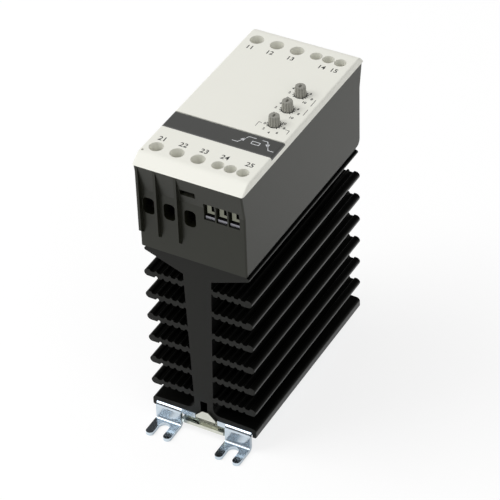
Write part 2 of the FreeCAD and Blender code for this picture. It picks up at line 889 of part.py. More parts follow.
def end_ribs():
    """The thin divider ribs beside the near power wire holes, flush with the cover."""
    low = seat + rib_start
    face = housing_half_length
    outline = [
        (-face + wall / 2, low),
        (-face, low),
        (-cover_half_length, low + rib_foot_rise),
        (-cover_half_length, junction),
        (-face + wall / 2, junction),
    ]
    places = [-housing_half_width + rib_side_inset + rib_thickness / 2]
    places += [x + power_pitch / 2 - rib_shift for x in power_places()[:-1]]
    half = rib_thickness / 2
    return [across(outline, x - half, x + half) for x in places]


def wire_holes():
    """Rounded power holes and square control holes through the near wall."""
    outer = cover_half_length + past
    middle = block_level - power_hole_drop
    half_w = power_hole_width / 2
    half_h = power_hole_height / 2
    holes = []
    for x in power_places():
        hole = box(x - half_w, x + half_w, -outer, -power_cage_near, middle - half_h,
                   middle + half_h)
        holes.append(rounded_along(hole, power_hole_corner, runs_along_y))
    half_w = control_hole_width / 2
    high = block_level - control_hole_drop
    for x in control_places():
        holes.append(box(x - half_w, x + half_w, -outer, -control_cage_near,
                         high - control_hole_height, high))
    return holes


def runs_along_y(edge):
    ends = [vertex.Point for vertex in edge.Vertexes]
    return abs(ends[0].y - ends[-1].y) > edge_find


def power_levels():
    """Heights of the power cage and its pocket at rest."""
    strip_low = block_level - power_strip_drop
    floor_top = strip_low - power_wire_gap
    cap_low = strip_low + power_strip_thickness + power_cage_gap
    return strip_low, floor_top, cap_low


def control_levels():
    """Heights of the control cage and its pocket at rest."""
    strip_low = block_level - control_strip_drop
    floor_top = strip_low - control_gap
    cap_low = strip_low + control_strip_thickness + control_cage_drop + control_cap_gap
    return strip_low, floor_top, cap_low


def terminal_pockets():
    """The hollows that the near cages slide in, with screw holes above."""
    ceiling = block_level - shoulder
    pockets = []
    strip_low, floor_top, _ = power_levels()
    half = power_cage_half + power_pocket_play
    slot_half = power_strip_half + pin_play
    for x in power_places():
        pockets.append(box(x - half, x + half, -power_cage_near - power_pocket_play,
                           -power_cage_far + power_pocket_play,
                           floor_top - power_cage_floor - cage_floor_play, ceiling))
        pockets.append(rod(x, -screw_row, power_screw_radius + power_screw_clear,
                           ceiling - past, block_level + past))
        pockets.append(box(x - slot_half, x + slot_half, -power_cage_far - past,
                           -block_inner + past, strip_low - pin_play,
                           strip_low + power_strip_thickness + pin_play))
    strip_low, floor_top, _ = control_levels()
    half = control_cage_half + control_pocket_play
    slot_half = control_strip_half + pin_play
    for x in control_places():
        low = floor_top - control_cage_floor - control_cage_drop - cage_floor_play
        pockets.append(box(x - half, x + half, -control_cage_near - control_jaw_play,
                           -control_cage_far + control_pocket_play, low, ceiling))
        pockets.append(rod(x, -screw_row, control_screw_radius + control_screw_clear,
                           ceiling - past, block_level + past))
        pockets.append(box(x - slot_half, x + slot_half, -control_cage_far - past,
                           -block_inner + past, strip_low - pin_play,
                           strip_low + control_strip_thickness + pin_play))
    return pockets


def snap_window():
    half = snap_window_width / 2
    return box(snap_x - half, snap_x + half, -cover_half_length - past,
               -housing_half_length + wall, window_low, window_high)


def inner_ledges():
    """Side ledges that carry the two boards."""
    ledges = []
    outer = inner_half_width + wall / 2
    for level in (power_board_level, control_board_level):
        for side in (-1, 1):
            span = sorted((side * (inner_half_width - ledge_width), side * outer))
            ledges.append(box(*span, -ledge_half_length, ledge_half_length,
                              level - ledge_thickness, level))
    return ledges


def inner_feet():
    """Four feet with screw holes that hold the housing on the heatsink."""
    feet = []
    holes = []
    outer = inner_half_width + wall / 2
    for side in (-1, 1):
        span = sorted((side * (housing_foot_x - housing_foot_half), side * outer))
        for y in (-housing_foot_y, housing_foot_y):
            feet.append(box(*span, y - housing_foot_half, y + housing_foot_half, seat,
                            seat + housing_foot_height))
            holes.append(rod(side * housing_foot_x, y, m3_clear, seat - past,
                             seat + housing_foot_height + past))
    return feet, holes


def make_housing():
    outer = across(housing_outline(0, 0), -housing_half_width, housing_half_width)

    def corner(edge):
        ends = [vertex.Point for vertex in edge.Vertexes]
        same_x = abs(ends[0].x - ends[-1].x) < edge_find
        tall = abs(ends[0].z - ends[-1].z) > housing_corner
        return same_x and tall

    def far_low(edge):
        ends = [vertex.Point for vertex in edge.Vertexes]
        return all(at(p, housing_half_length, seat) for p in ends)

    outer = rounded_along(outer, housing_far_round, far_low)
    outer = rounded_along(outer, housing_corner, corner)
    inner = across(housing_outline(wall, past), -inner_half_width, inner_half_width)
    shell = outer.cut(inner)
    reach = housing_half_length - wall / 2
    near_block = box(-inner_half_width - wall / 2, inner_half_width + wall / 2, -reach,
                     -block_inner, seat + block_low, block_level)
    feet, foot_holes = inner_feet()
    solid = joined([shell] + both_ends([near_block] + end_ribs()) + inner_ledges() + feet)
    near_cuts = wire_holes() + terminal_pockets() + [snap_window()]
    return less(solid, both_ends(near_cuts) + foot_holes)


# ---------------------------------------------------------------- cover
def cover_outline(inset):
    half = cover_half_length - inset
    near = cover_half_length - cover_near_slope - inset / 2
    far = cover_half_length - cover_far_slope - inset / 2
    low = junction - (past if inset else 0)
    edge = junction + (cover_inner_edge if inset else 0)
    return [
        (-half, low),
        (half, low),
        (half, edge),
        (far, cover_top - inset),
        (-near, cover_top - inset),
        (-half, edge),
    ]


def closed_outline(points):
    """An outline without points that repeat the one before."""
    kept = []
    for point in points:
        if not kept or math.dist(point, kept[-1]) > edge_find:
            kept.append(point)
    if math.dist(kept[0], kept[-1]) < edge_find:
        kept.pop()
    return kept


def guide_tubes():
    """Screwdriver guides under the near holes: the tubes, then their bores."""
    low = block_level + tube_gap
    tubes = []
    bores = []
    roof = cover_top - cover_wall / 2
    for x in power_places():
        tubes.append(rod(x, -screw_row, power_tube_radius + power_tube_wall, low, roof))
        bores.append(rod(x, -screw_row, power_tube_radius, low - past, cover_top + past))
    for x in control_places():
        tubes.append(rod(x, -screw_row, control_tube_radius + control_tube_wall, low, roof))
        bores.append(rod(x, -screw_row, control_tube_radius, low - past, cover_top + past))
    side = inner_half_width - lip_play
    room = box(-side, side, -cover_half_length, 0, low - past, cover_top)
    return [tube.common(room) for tube in tubes], bores


def snap_tongue():
    """A springy tongue whose nose hooks under the top edge of the housing's window."""
    outer = housing_half_length - snap_inset
    inner = outer - snap_thickness
    low = window_low + snap_play
    nose_top = window_high - snap_play
    half = snap_window_width / 2 - snap_side_play
    outline = [
        (-inner, low),
        (-outer, low),
        (-outer - snap_reach, nose_top - snap_lip),
        (-outer - snap_reach, nose_top),
        (-outer, nose_top),
        (-outer, cover_top - cover_wall / 2),
        (-inner, cover_top - cover_wall / 2),
    ]
    return across(outline, snap_x - half, snap_x + half)


def locating_lip():
    """A shallow rim that drops inside the housing's side walls."""
    outer = inner_half_width - lip_play
    inner = outer - lip_thickness
    length = board_half_length
    roof = cover_top - cover_wall / 2
    return [box(*sorted((side * inner, side * outer)), -length, length,
                junction - lip_depth, roof) for side in (-1, 1)]


def knob_places():
    return [knob_first_y + k * knob_pitch for k in range(knob_count)]


def crease(edge):
    """The two edges across the width, between the cover's top and its sloped ends."""
    ends = [vertex.Point for vertex in edge.Vertexes]
    on_top = all(abs(p.z - cover_top) < edge_find for p in ends)
    return on_top and abs(ends[0].y - ends[-1].y) < edge_find


def side_rim(edge):
    """The outer edges of the cover's sides, apart from those on the housing."""
    ends = [vertex.Point for vertex in edge.Vertexes]
    on_side = all(abs(abs(p.x) - cover_half_width) < edge_find for p in ends)
    same_side = abs(ends[0].x - ends[-1].x) < edge_find
    return on_side and same_side and max(p.z for p in ends) > junction + edge_find


def make_front_cover():
    outer = across(closed_outline(cover_outline(0)), -cover_half_width, cover_half_width)
    outer = rounded_along(outer, cover_crease, crease)
    outer = rounded_along(outer, cover_edge, side_rim)
    inner = across(closed_outline(cover_outline(cover_wall)), -inner_half_width,
                   inner_half_width)
    shell = outer.cut(inner)
    tubes, bores = guide_tubes()
    near_parts = tubes + [snap_tongue()]
    solid = joined([shell] + both_ends(near_parts) + locating_lip())
    cuts = both_ends(bores)
    radius = knob_shaft_radius + knob_hole_play
    cuts += [rod(knob_x, y, radius, junction, cover_top + past) for y in knob_places()]
    side = cover_half_width + past
    cuts.append(box(-side, side, stripe_near, stripe_far, cover_top - stripe_thickness,
                    cover_top + past))
    cuts.append(rod(dimple_side - cover_half_width, dimple_end - cover_half_length,
                    dimple_radius, cover_top - dimple_depth, cover_top + past))
    return less(solid, cuts)


def make_stripe_window():
    """A dark strip, flush with the cover's top and with its rounded side edges."""
    strip = box(-cover_half_width, cover_half_width, stripe_near, stripe_far,
                cover_top - stripe_thickness, cover_top)

    def top_end(edge):
        ends = [vertex.Point for vertex in edge.Vertexes]
        return all(abs(p.z - cover_top) < edge_find
                   and abs(abs(p.x) - cover_half_width) < edge_find for p in ends)

    return rounded_along(strip, cover_edge, top_end)


# ---------------------------------------------------------------- terminal pieces
def driven_head(x, radius, height):
    """A screw head with a slot and a cross recess."""
    low = block_level
    top = low + height
    half = slot_width / 2
    arm = radius * terminal_cross_share
    cross = cross_width / 2
    head = rod(x, -screw_row, radius, low, top)
    cuts = [
        box(x - half, x + half, -screw_row - radius - past, -screw_row + radius + past,
            top - slot_depth, top + past),
        box(x - arm, x + arm, -screw_row - cross, -screw_row + cross, top - cross_depth,
            top + past),
    ]
    return head.cut(cuts)


def terminal_screw(x, head_radius, head_height, radius, end):
    head = driven_head(x, head_radius, head_height)
    shank = rod(x, -screw_row, radius, end + screw_play, block_level + shank_lap)
    return joined([head, shank])


def make_power_screw(x):
    strip_low, _, _ = power_levels()
    return terminal_screw(x, power_head_radius, power_head_height, power_screw_radius,
                          strip_low + power_strip_thickness)


def make_control_screw(x):
    strip_low, _, _ = control_levels()
    return terminal_screw(x, control_head_radius, control_head_height,
                          control_screw_radius, strip_low + control_strip_thickness)


def make_power_clamp(x):
    """A rectangular steel cage that the screw lifts."""
    _, floor_top, cap_low = power_levels()
    half = power_cage_half
    inside = half - power_cage_wall
    outer = box(x - half, x + half, -power_cage_near, -power_cage_far,
                floor_top - power_cage_floor, cap_low + power_cage_cap)
    window = box(x - inside, x + inside, -power_cage_near - past, -power_cage_far + past,
                 floor_top, cap_low)
    hole = rod(x, -screw_row, power_screw_radius + screw_play, cap_low - past,
               cap_low + power_cage_cap + past)
    return less(outer, [window, hole])


def make_control_clamp(x):
    """The small cage, whose floor reaches forward as the visible jaw."""
    _, floor_top, cap_low = control_levels()
    half = control_cage_half
    inside = half - control_cage_wall
    jaw = box(x - half, x + half, -control_cage_near, -control_cage_far,
              floor_top - control_cage_floor, floor_top)
    ring = box(x - half, x + half, -control_ring_near, -control_cage_far,
               floor_top - control_cage_floor, cap_low + control_cage_cap)
    window = box(x - inside, x + inside, -control_ring_near - past,
                 -control_cage_far + past, floor_top, cap_low)
    hole = rod(x, -screw_row, control_screw_radius + screw_play, cap_low - past,
               cap_low + control_cage_cap + past)
    return joined([jaw, less(ring, [window, hole])])


def make_busbars():
    """Brass tongues of the near power terminals, with risers to the power board."""
    strip_low, _, _ = power_levels()
    strip_top = strip_low + power_strip_thickness
    tail = power_board_level - riser_tail
    outline = [
        (-power_strip_end, strip_low),
        (-riser_near, strip_low),
        (-riser_near, tail),
        (-riser_near + riser_thickness, tail),
        (-riser_near + riser_thickness, strip_top),
        (-power_strip_end, strip_top),
    ]
    half = power_strip_half
    return [across(outline, x - half, x + half) for x in power_places()]


def make_control_contacts():
    """Tinned contacts of the near control terminals, with pins up to the board."""
    strip_low, _, _ = control_levels()
    strip_top = strip_low + control_strip_thickness
    contacts = []
    for x in control_places():
        half = control_strip_half
        strip = box(x - half, x + half, -nose_near + nose_thickness, -contact_pin_y,
                    strip_low, strip_top)
        pin = box(x - pin_half, x + pin_half, -contact_pin_y - 2 * pin_half,
                  -contact_pin_y, strip_low, control_board_top + pin_above)
        foot_top = strip_low + nose_foot_height
        foot = box(x + nose_bar_left, x + nose_foot_right, -nose_near,
                   -nose_near + nose_thickness, strip_low, foot_top)
        bar = box(x + nose_bar_left, x + nose_bar_right, -nose_near,
                  -nose_near + nose_thickness, foot_top,
                  block_level - control_hole_drop - nose_top_play)
        contacts.append(joined([strip, pin, foot, bar]))
    return contacts


# ---------------------------------------------------------------- knobs
def make_trimmer_knob(y):
    low = cover_top + knob_gap
    top = low + knob_height
    head = Part.makeCone(knob_radius, knob_top_radius, knob_height, V(knob_x, y, low))
    shaft = rod(knob_x, y, knob_shaft_radius, control_board_top + trimmer_height
                - trimmer_bore_depth + screw_play, low + shank_lap)
    cuts = [rod(knob_x, y, knob_recess_radius, top - knob_recess_depth, top + past)]
    for k in range(knob_flutes):
        angle = 2 * math.pi * (k + 0.5) / knob_flutes
        outward = V(math.cos(angle), math.sin(angle), 0)
        lean = outward * (knob_top_radius - knob_radius) + V(0, 0, knob_height)
        foot = V(knob_x, y, low) + outward * knob_radius
        cuts.append(Part.makeCylinder(knob_flute_radius, 3 * knob_height, foot - lean, lean))
    half = knob_mark_width / 2
    cuts.append(box(knob_x - half, knob_x + half, y, y + knob_radius + past,
                    top - knob_mark_depth, top + past))
    return less(joined([head, shaft]), cuts)


def make_trimmer_bodies():
    half = trimmer_size / 2
    top = control_board_top + trimmer_height
    bodies = []
    for y in knob_places():
        body = box(knob_x - half, knob_x + half, y - half, y + half, control_board_top, top)
        bore = rod(knob_x, y, knob_shaft_radius + screw_play, top - trimmer_bore_depth,
                   top + past)
        bodies.append(body.cut(bore))
    return group(bodies)


# ---------------------------------------------------------------- boards
def make_power_board():
    plate = box(-board_half_width, board_half_width, -board_half_length,
                board_half_length, power_board_level, power_board_top)
    holes = []
    half = power_strip_half + pin_play
    for x in power_places():
        holes.append(box(x - half, x + half, -riser_near - pin_play,
                         -riser_near + riser_thickness + pin_play,
                         power_board_level - past, power_board_top + past))
    holes = both_ends(holes)
    for x, y in lead_places():
        holes.append(rod(x, y, lead_hole_radius, power_board_level - past,
                         power_board_top + past))
    return less(plate, holes)


def make_control_board():
    plate = box(-board_half_width, board_half_width, -board_half_length,
                board_half_length, control_board_level, control_board_top)
    holes = []
    half = pin_half + pin_play
    for x in control_places():
        holes.append(box(x - half, x + half, -contact_pin_y - pin_half - half,
                         -contact_pin_y - pin_half + half, control_board_level - past,
                         control_board_top + past))
    return less(plate, both_ends(holes))


# ---------------------------------------------------------------- power stage
def package_places():
    return [-package_pitch, 0.0, package_pitch]


def lead_places():
    x = package_high_x + lead_reach - lead_thickness / 2
    return [(x, y + k * lead_pitch) for y in package_places() for k in (-1, 0, 1)]


def make_thermal_pad():
    reach = package_pitch + package_half + pad_margin
    return box(package_low_x - pad_margin, package_high_x + pad_margin, -reach, reach,
               seat, seat + pad_thickness)


def make_power_semiconductors():
    """Three flat packages with three bent leads each."""
    low = seat + pad_thickness
    packages = []
    half = lead_width / 2
    lead_low = low + lead_height
    end = package_high_x + lead_reach
    for y in package_places():
        pieces = [box(package_low_x, package_high_x, y - package_half, y + package_half,
                      low, low + package_height)]
        for k in (-1, 0, 1):
            middle = y + k * lead_pitch
            pieces.append(box(package_high_x - lead_root, end, middle - half, middle + half,
                              lead_low, lead_low + lead_thickness))
            pieces.append(box(end - lead_thickness, end, middle - half, middle + half,
                              lead_low, power_board_top + pin_above))
        packages.append(joined(pieces))
    return group(packages)


def make_clamp_bar():
    """A spring steel bar that presses the packages on the heatsink."""
    top = seat + pad_thickness + package_height + bar_sheet
    low = top - bar_sheet
    near = bar_wall_near
    outline = [
        (-bar_foot_end, seat),
        (-near + bar_sheet, seat),
        (-near + bar_sheet, low),
        (near - bar_sheet, low),
        (near - bar_sheet, seat),
        (bar_foot_end, seat),
        (bar_foot_end, seat + bar_sheet),
        (near, seat + bar_sheet),
        (near, top),
        (-near, top),
        (-near, seat + bar_sheet),
        (-bar_foot_end, seat + bar_sheet),
    ]
    bar = across(outline, -bar_half_width, bar_half_width)
    holes = [rod(0, y, m3_clear, seat - past, seat + bar_sheet + past)
             for y in (-bar_screw_y, bar_screw_y)]
    return less(bar, holes)


def pan_screw(x, y, level, length):
    """An M3 pan head screw whose head sits on a level."""
    top = level + m3_head_height
    head = rod(x, y, m3_head_radius, level, top)
    arm = m3_head_radius * cross_share
    cross = cross_width / 2
    cuts = [
        box(x - arm, x + arm, y - cross, y + cross, top - cross_depth, top + past),
        box(x - cross, x + cross, y - arm, y + arm, top - cross_depth, top + past),
    ]
    shank = rod(x, y, m3_radius, level - length, level + shank_lap)
    return joined([head.cut(cuts), shank])


def make_bar_screws():
    level = seat + bar_sheet
    return group([pan_screw(0, y, level, bar_screw_length) for y in (-bar_screw_y, bar_screw_y)])


def make_housing_screws():
    level = seat + housing_foot_height
    length = housing_foot_height + housing_screw_length
    return group([pan_screw(x, y, level, length)
                  for x in (-housing_foot_x, housing_foot_x)
                  for y in (-housing_foot_y, housing_foot_y)])


# ---------------------------------------------------------------- board parts
def rows():
    return [-row_pitch, 0.0, row_pitch]


def on_board(x, y, width, length, height, level):
    return box(x - width / 2, x + width / 2, y - length / 2, y + length / 2, level,
               level + height)


def make_varistors():
    level = power_board_top
    parts = []
    for y in rows():
        middle = level + varistor_stand + varistor_radius
        disc = Part.makeCylinder(varistor_radius, varistor_thickness,
                                 V(varistor_x - varistor_thickness / 2, y, middle),
                                 V(1, 0, 0))
        legs = [box(varistor_x - leg_half, varistor_x + leg_half, y + side * leg_spread
                    - leg_half, y + side * leg_spread + leg_half, level, middle)
                for side in (-1, 1)]
        parts.append(joined([disc] + legs))
    return group(parts)


def make_snubber_capacitors():
    return group([on_board(film_cap_x, y, film_cap_width, film_cap_length,
                           film_cap_height, power_board_top) for y in rows()])


def make_snubber_resistors():
    level = power_board_top
    parts = []
    half = resistor_length / 2
    middle = level + resistor_stand + resistor_radius
    for y in rows():
        body = Part.makeCylinder(resistor_radius, resistor_length,
                                 V(resistor_x, y - half, middle), V(0, 1, 0))
        legs = []
        for side in (-1, 1):
            leg_y = y + side * (half - resistor_leg_inset)
            legs.append(box(resistor_x - leg_half, resistor_x + leg_half,
                            leg_y - leg_half, leg_y + leg_half, level, middle))
        parts.append(joined([body] + legs))
    return group(parts)


def make_optocouplers():
    return group([on_board(opto_x, y, opto_width, opto_length, opto_height,
                           power_board_top) for y in rows()])


def make_board_connector():
    return box(-connector_half, connector_half, connector_near, connector_far,
               power_board_top, control_board_level)


def make_controller_chip():
    return on_board(chip_x, chip_y, chip_size, chip_size, chip_height, control_board_top)


def make_supply_transformer():
    level = control_board_top
    spare = (transformer_height - transformer_core_height) / 2
    y = board_half_length - transformer_end
    bobbin = on_board(transformer_x, y, transformer_bobbin, transformer_bobbin,
                      transformer_height, level)
    core = on_board(transformer_x, y, transformer_core, transformer_bobbin / 2,
                    transformer_core_height, level + spare)
    return joined([bobbin, core])


def make_smoothing_capacitors():
    """Two upright cans in the middle of the room between transformer and relay."""
    level = control_board_top
    left = transformer_x + transformer_core / 2
    right = relay_x - relay_width / 2
    middle = (left + right) / 2
    y = board_half_length - capacitor_end
    return group([rod(middle + side * capacitor_pitch / 2, y, capacitor_radius, level,
                      level + capacitor_height) for side in (-1, 1)])


def make_signal_relay():
    return on_board(relay_x, board_half_length - relay_end, relay_width, relay_length,
                    relay_height, control_board_top)


def make_status_leds():
    y = (stripe_near + stripe_far) / 2
    level = control_board_top
    parts = []
    for k in range(led_count):
        x = led_first_x + k * led_pitch
        top = level + led_height - led_radius
        dome = Part.makeSphere(led_radius, V(x, y, top))
        parts.append(joined([rod(x, y, led_radius, level, top), dome]))
    return group(parts)


# ---------------------------------------------------------------- export
def terminals():
    """Every terminal screw, clamp and contact, at both ends."""
    nodes = {}
    for k, x in enumerate(power_places(), 1):
        nodes[f"near_power_screw_{k}"] = make_power_screw(x)
        nodes[f"near_power_clamp_{k}"] = make_power_clamp(x)
    for k, x in enumerate(control_places(), 1):
        nodes[f"near_control_screw_{k}"] = make_control_screw(x)
        nodes[f"near_control_clamp_{k}"] = make_control_clamp(x)
    for name in list(nodes):
        nodes[name.replace("near_", "far_")] = far_copy(nodes[name])
    nodes["near_busbars"] = group(make_busbars())
    nodes["near_control_contacts"] = group(make_control_contacts())
    nodes["far_busbars"] = group([far_copy(s) for s in make_busbars()])
    nodes["far_control_contacts"] = group([far_copy(s) for s in make_control_contacts()])
    return nodes


def all_nodes():
    nodes = {
        "heatsink": make_heatsink(),
        "housing": make_housing(),
        "front_cover": make_front_cover(),
        "stripe_window": make_stripe_window(),
        "mounting_bracket": make_mounting_bracket(),
        "bracket_screws": make_bracket_screws(),
        "rail_latch": make_rail_latch(),
        "latch_spring": make_latch_spring(),
        "thermal_pad": make_thermal_pad(),
        "power_semiconductors": make_power_semiconductors(),
        "clamp_bar": make_clamp_bar(),
        "bar_screws": make_bar_screws(),
        "housing_screws": make_housing_screws(),
        "power_board": make_power_board(),
        "varistors": make_varistors(),
        "snubber_capacitors": make_snubber_capacitors(),
        "snubber_resistors": make_snubber_resistors(),
        "optocouplers": make_optocouplers(),
        "board_connector": make_board_connector(),
        "control_board": make_control_board(),
        "trimmer_bodies": make_trimmer_bodies(),
        "controller_chip": make_controller_chip(),
        "supply_transformer": make_supply_transformer(),
        "smoothing_capacitors": make_smoothing_capacitors(),
        "signal_relay": make_signal_relay(),
        "status_leds": make_status_leds(),
    }
    for k, y in enumerate(knob_places(), 1):
        nodes[f"trimmer_knob_{k}"] = make_trimmer_knob(y)
    nodes.update(terminals())
    return nodes


def main():
    os.makedirs("parts", exist_ok=True)
    for name, shape in all_nodes().items():
        shape.exportStep(f"parts/{name}.step")
        low = shape.BoundBox
        print(f"{name:24s} solids {len(shape.Solids)} valid {shape.isValid()} "
              f"volume {shape.Volume:9.1f}  x {low.XMin:6.1f} {low.XMax:6.1f}  "
              f"y {low.YMin:6.1f} {low.YMax:6.1f}  z {low.ZMin:6.1f} {low.ZMax:6.1f}")


main()
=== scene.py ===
# %% [markdown]
# # A solid state relay on its heatsink
#
# The object is an electronic motor switch, 45 mm wide and about 130 mm deep from the
# wall to its dials. An ivory front closes a black plastic housing, the housing sits on
# a black finned aluminium heatsink, and a bright steel bracket clips all of it on a
# rail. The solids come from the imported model. This lesson gives them their finishes
# and adds what the solids leave out: corrugated fins, fluted knobs, print and marks.

import bmesh
import bpy
import json
import math
from mathutils import Matrix, Vector


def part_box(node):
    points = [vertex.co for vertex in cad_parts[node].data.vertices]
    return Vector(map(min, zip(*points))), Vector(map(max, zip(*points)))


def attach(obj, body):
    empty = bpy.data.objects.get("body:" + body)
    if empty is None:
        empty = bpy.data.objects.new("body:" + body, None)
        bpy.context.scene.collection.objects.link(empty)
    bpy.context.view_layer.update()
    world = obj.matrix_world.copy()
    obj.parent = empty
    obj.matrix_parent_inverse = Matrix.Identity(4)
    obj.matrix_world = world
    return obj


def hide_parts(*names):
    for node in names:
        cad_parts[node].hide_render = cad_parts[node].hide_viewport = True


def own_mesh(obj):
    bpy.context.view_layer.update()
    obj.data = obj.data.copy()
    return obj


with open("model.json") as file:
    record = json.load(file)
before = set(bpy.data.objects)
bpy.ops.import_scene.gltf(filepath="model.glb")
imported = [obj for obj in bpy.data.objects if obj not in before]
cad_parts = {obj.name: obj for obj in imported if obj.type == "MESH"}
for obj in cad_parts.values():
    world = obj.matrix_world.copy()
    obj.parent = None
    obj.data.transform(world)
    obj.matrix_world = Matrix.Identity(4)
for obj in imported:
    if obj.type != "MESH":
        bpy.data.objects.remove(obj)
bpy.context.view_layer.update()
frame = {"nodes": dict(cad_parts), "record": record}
MM = 0.001

# %% [markdown]
# ## The camera
#
# The photograph was taken from the right and from well above with a long lens, so the
# upright edges lean only a little. The camera stands on a line through the middle of
# the module, and is turned slightly about that line. Its angles, its distance and its
# lens were found from the straight edges and the rows of screw holes.

# %% Camera
CAMERA_AZIMUTH = math.radians(29.757)
CAMERA_ELEVATION = math.radians(38.553)
CAMERA_ROLL = math.radians(-2.096)
CAMERA_DISTANCE = 984.46 * MM
CAMERA_TARGET = Vector((-3.67, 2.38, 55.08)) * MM
CAMERA_SENSOR = 36
CAMERA_LENS = 186.27
CAMERA_SEES_FROM = 0.05
CAMERA_SEES_TO = 20


def placed(name, data):
    """New data as an object of the scene, at the origin."""
    thing = bpy.data.objects.new(name, data)
    bpy.context.collection.objects.link(thing)
    return thing


def look_from(azimuth, elevation, roll, distance, target):
    """The place and turn of a camera that looks at the target."""
    right = Vector((math.cos(azimuth), math.sin(azimuth), 0))
    back = Vector((
        math.sin(azimuth) * math.cos(elevation),
        -math.cos(azimuth) * math.cos(elevation),
        math.sin(elevation),
    ))
    up = back.cross(right)
    across = right * math.cos(roll) + up * math.sin(roll)
    upward = up * math.cos(roll) - right * math.sin(roll)
    turn = Matrix((across, upward, back)).transposed().to_4x4()
    return Matrix.Translation(target + back * distance) @ turn


camera = placed("camera", bpy.data.cameras.new("camera"))
camera.data.sensor_width = CAMERA_SENSOR
camera.data.lens = CAMERA_LENS
camera.data.clip_start = CAMERA_SEES_FROM
camera.data.clip_end = CAMERA_SEES_TO
camera.matrix_world = look_from(
    CAMERA_AZIMUTH, CAMERA_ELEVATION, CAMERA_ROLL, CAMERA_DISTANCE, CAMERA_TARGET
)
bpy.context.scene.camera = camera
bpy.context.scene.view_settings.view_transform = "Standard"
print("camera at", [round(v, 3) for v in camera.location])

# %% [markdown]
# ## Node graphs as sums
#
# Finishes and repeated shapes are both made of nodes. One small class stands for the
# output of a node, so that a pattern is written as a sum, and another adds any node
# with its inputs and its settings. Both kinds of tree understand the same maths node.


# %% Node helpers
class Wire:
    """The output of one node, which sums and products use like a number."""

    def __init__(self, graph, node, output):
        self.graph = graph
        self.node = node
        self.output = output

    @property
    def socket(self):
        return self.node.outputs[self.output]

    def out(self, output):
        return Wire(self.graph, self.node, output)

    def __add__(self, other):
        return self.graph.maths("ADD", self, other)

    def __radd__(self, other):
        return self.graph.maths("ADD", other, self)

    def __sub__(self, other):
        return self.graph.maths("SUBTRACT", self, other)

    def __rsub__(self, other):
        return self.graph.maths("SUBTRACT", other, self)

    def __mul__(self, other):
        return self.graph.maths("MULTIPLY", self, other)

    def __rmul__(self, other):
        return self.graph.maths("MULTIPLY", other, self)

    def __truediv__(self, other):
        return self.graph.maths("DIVIDE", self, other)

    def __rtruediv__(self, other):
        return self.graph.maths("DIVIDE", other, self)

    def __lt__(self, other):
        return self.graph.maths("LESS_THAN", self, other)

    def __gt__(self, other):
        return self.graph.maths("GREATER_THAN", self, other)

    def clamped(self):
        """The same value, kept between 0 and 1."""
        wire = self + 0.0
        wire.node.use_clamp = True
        return wire


class Graph:
    """A node tree that is filled one node at a time."""

    def __init__(self, tree):
        self.tree = tree

    def add(self, kind, sockets=None, output=0, **settings):
        """Adds a node, links or fills its inputs, and gives one of its outputs."""
        node = self.tree.nodes.new(kind)
        for name, value in settings.items():
            setattr(node, name, value)
        for key, value in (sockets or {}).items():
            if isinstance(value, Wire):
                self.tree.links.new(value.socket, node.inputs[key])
            else:
                node.inputs[key].default_value = value
        return Wire(self, node, output)

    def maths(self, operation, *values):
        return self.add("ShaderNodeMath", dict(enumerate(values)), operation=operation)

    def vector(self, x, y, z):
        return self.add("ShaderNodeCombineXYZ", {0: x, 1: y, 2: z})

    def parts(self, vector):
        split = self.add("ShaderNodeSeparateXYZ", {0: vector})
        return split.out(0), split.out(1), split.out(2)


# %% [markdown]
# ## Finishes
#
# Every finish is a recipe on Object coordinates, in metres, so its grain has a real
# size. A recipe starts with an empty material and ends with one surface shader. What
# varies over the surface is its colour, its roughness and a fine bump.


# %% Recipe helpers
def shade(red, green, blue):
    return (red, green, blue, 1.0)


def scaled(colour, factor):
    """A colour made darker or lighter, never lighter than white."""
    return shade(*(min(1.0, channel * factor) for channel in colour[:3]))


class Recipe(Graph):
    """A material with the patterns that several finishes share."""

    def __init__(self, name):
        self.material = bpy.data.materials.new(name)
        self.material.use_nodes = True
        super().__init__(self.material.node_tree)
        self.tree.nodes.clear()
        self.place = self.add("ShaderNodeTexCoord", output="Object")

    def noise(self, grain, detail=2.0, stretch=(1, 1, 1)):
        """Soft noise whose spots are about one grain wide, in millimetres."""
        place = self.add("ShaderNodeMapping", {"Vector": self.place, "Scale": stretch})
        return self.add(
            "ShaderNodeTexNoise",
            {"Vector": place, "Scale": 1.0 / (grain * MM), "Detail": detail},
        )

    def blend(self, share, first, second):
        """A colour between two, by a share from 0 to 1."""
        return self.add(
            "ShaderNodeMix",
            {0: share, 6: first, 7: second},
            output=2,
            data_type="RGBA",
        )

    def bump(self, height, depth):
        """Small unevenness of the surface, whose depth is in millimetres."""
        return self.add(
            "ShaderNodeBump",
            {"Height": height, "Distance": depth * MM, "Strength": 1.0},
        )

    def surface(self, **sockets):
        named = {key.replace("_", " "): value for key, value in sockets.items()}
        shader = self.add("ShaderNodeBsdfPrincipled", named)
        self.add("ShaderNodeOutputMaterial", {"Surface": shader})
        return self.material


# %% [markdown]
# ### Moulded plastics
#
# The housing and the cover come out of spark eroded moulds, which leave a very fine
# matt grain. The black one is so dark that what shows of it is mostly a broad sheen
# of its bright surroundings. The ivory one shows its own colour, a little uneven.

# %% Moulded plastic
WHITE = shade(1.0, 1.0, 1.0)
CLOUD_GRAIN = 14.0
SPARK_SHARE = 0.35
SPARK_ROUGHENS = 0.1


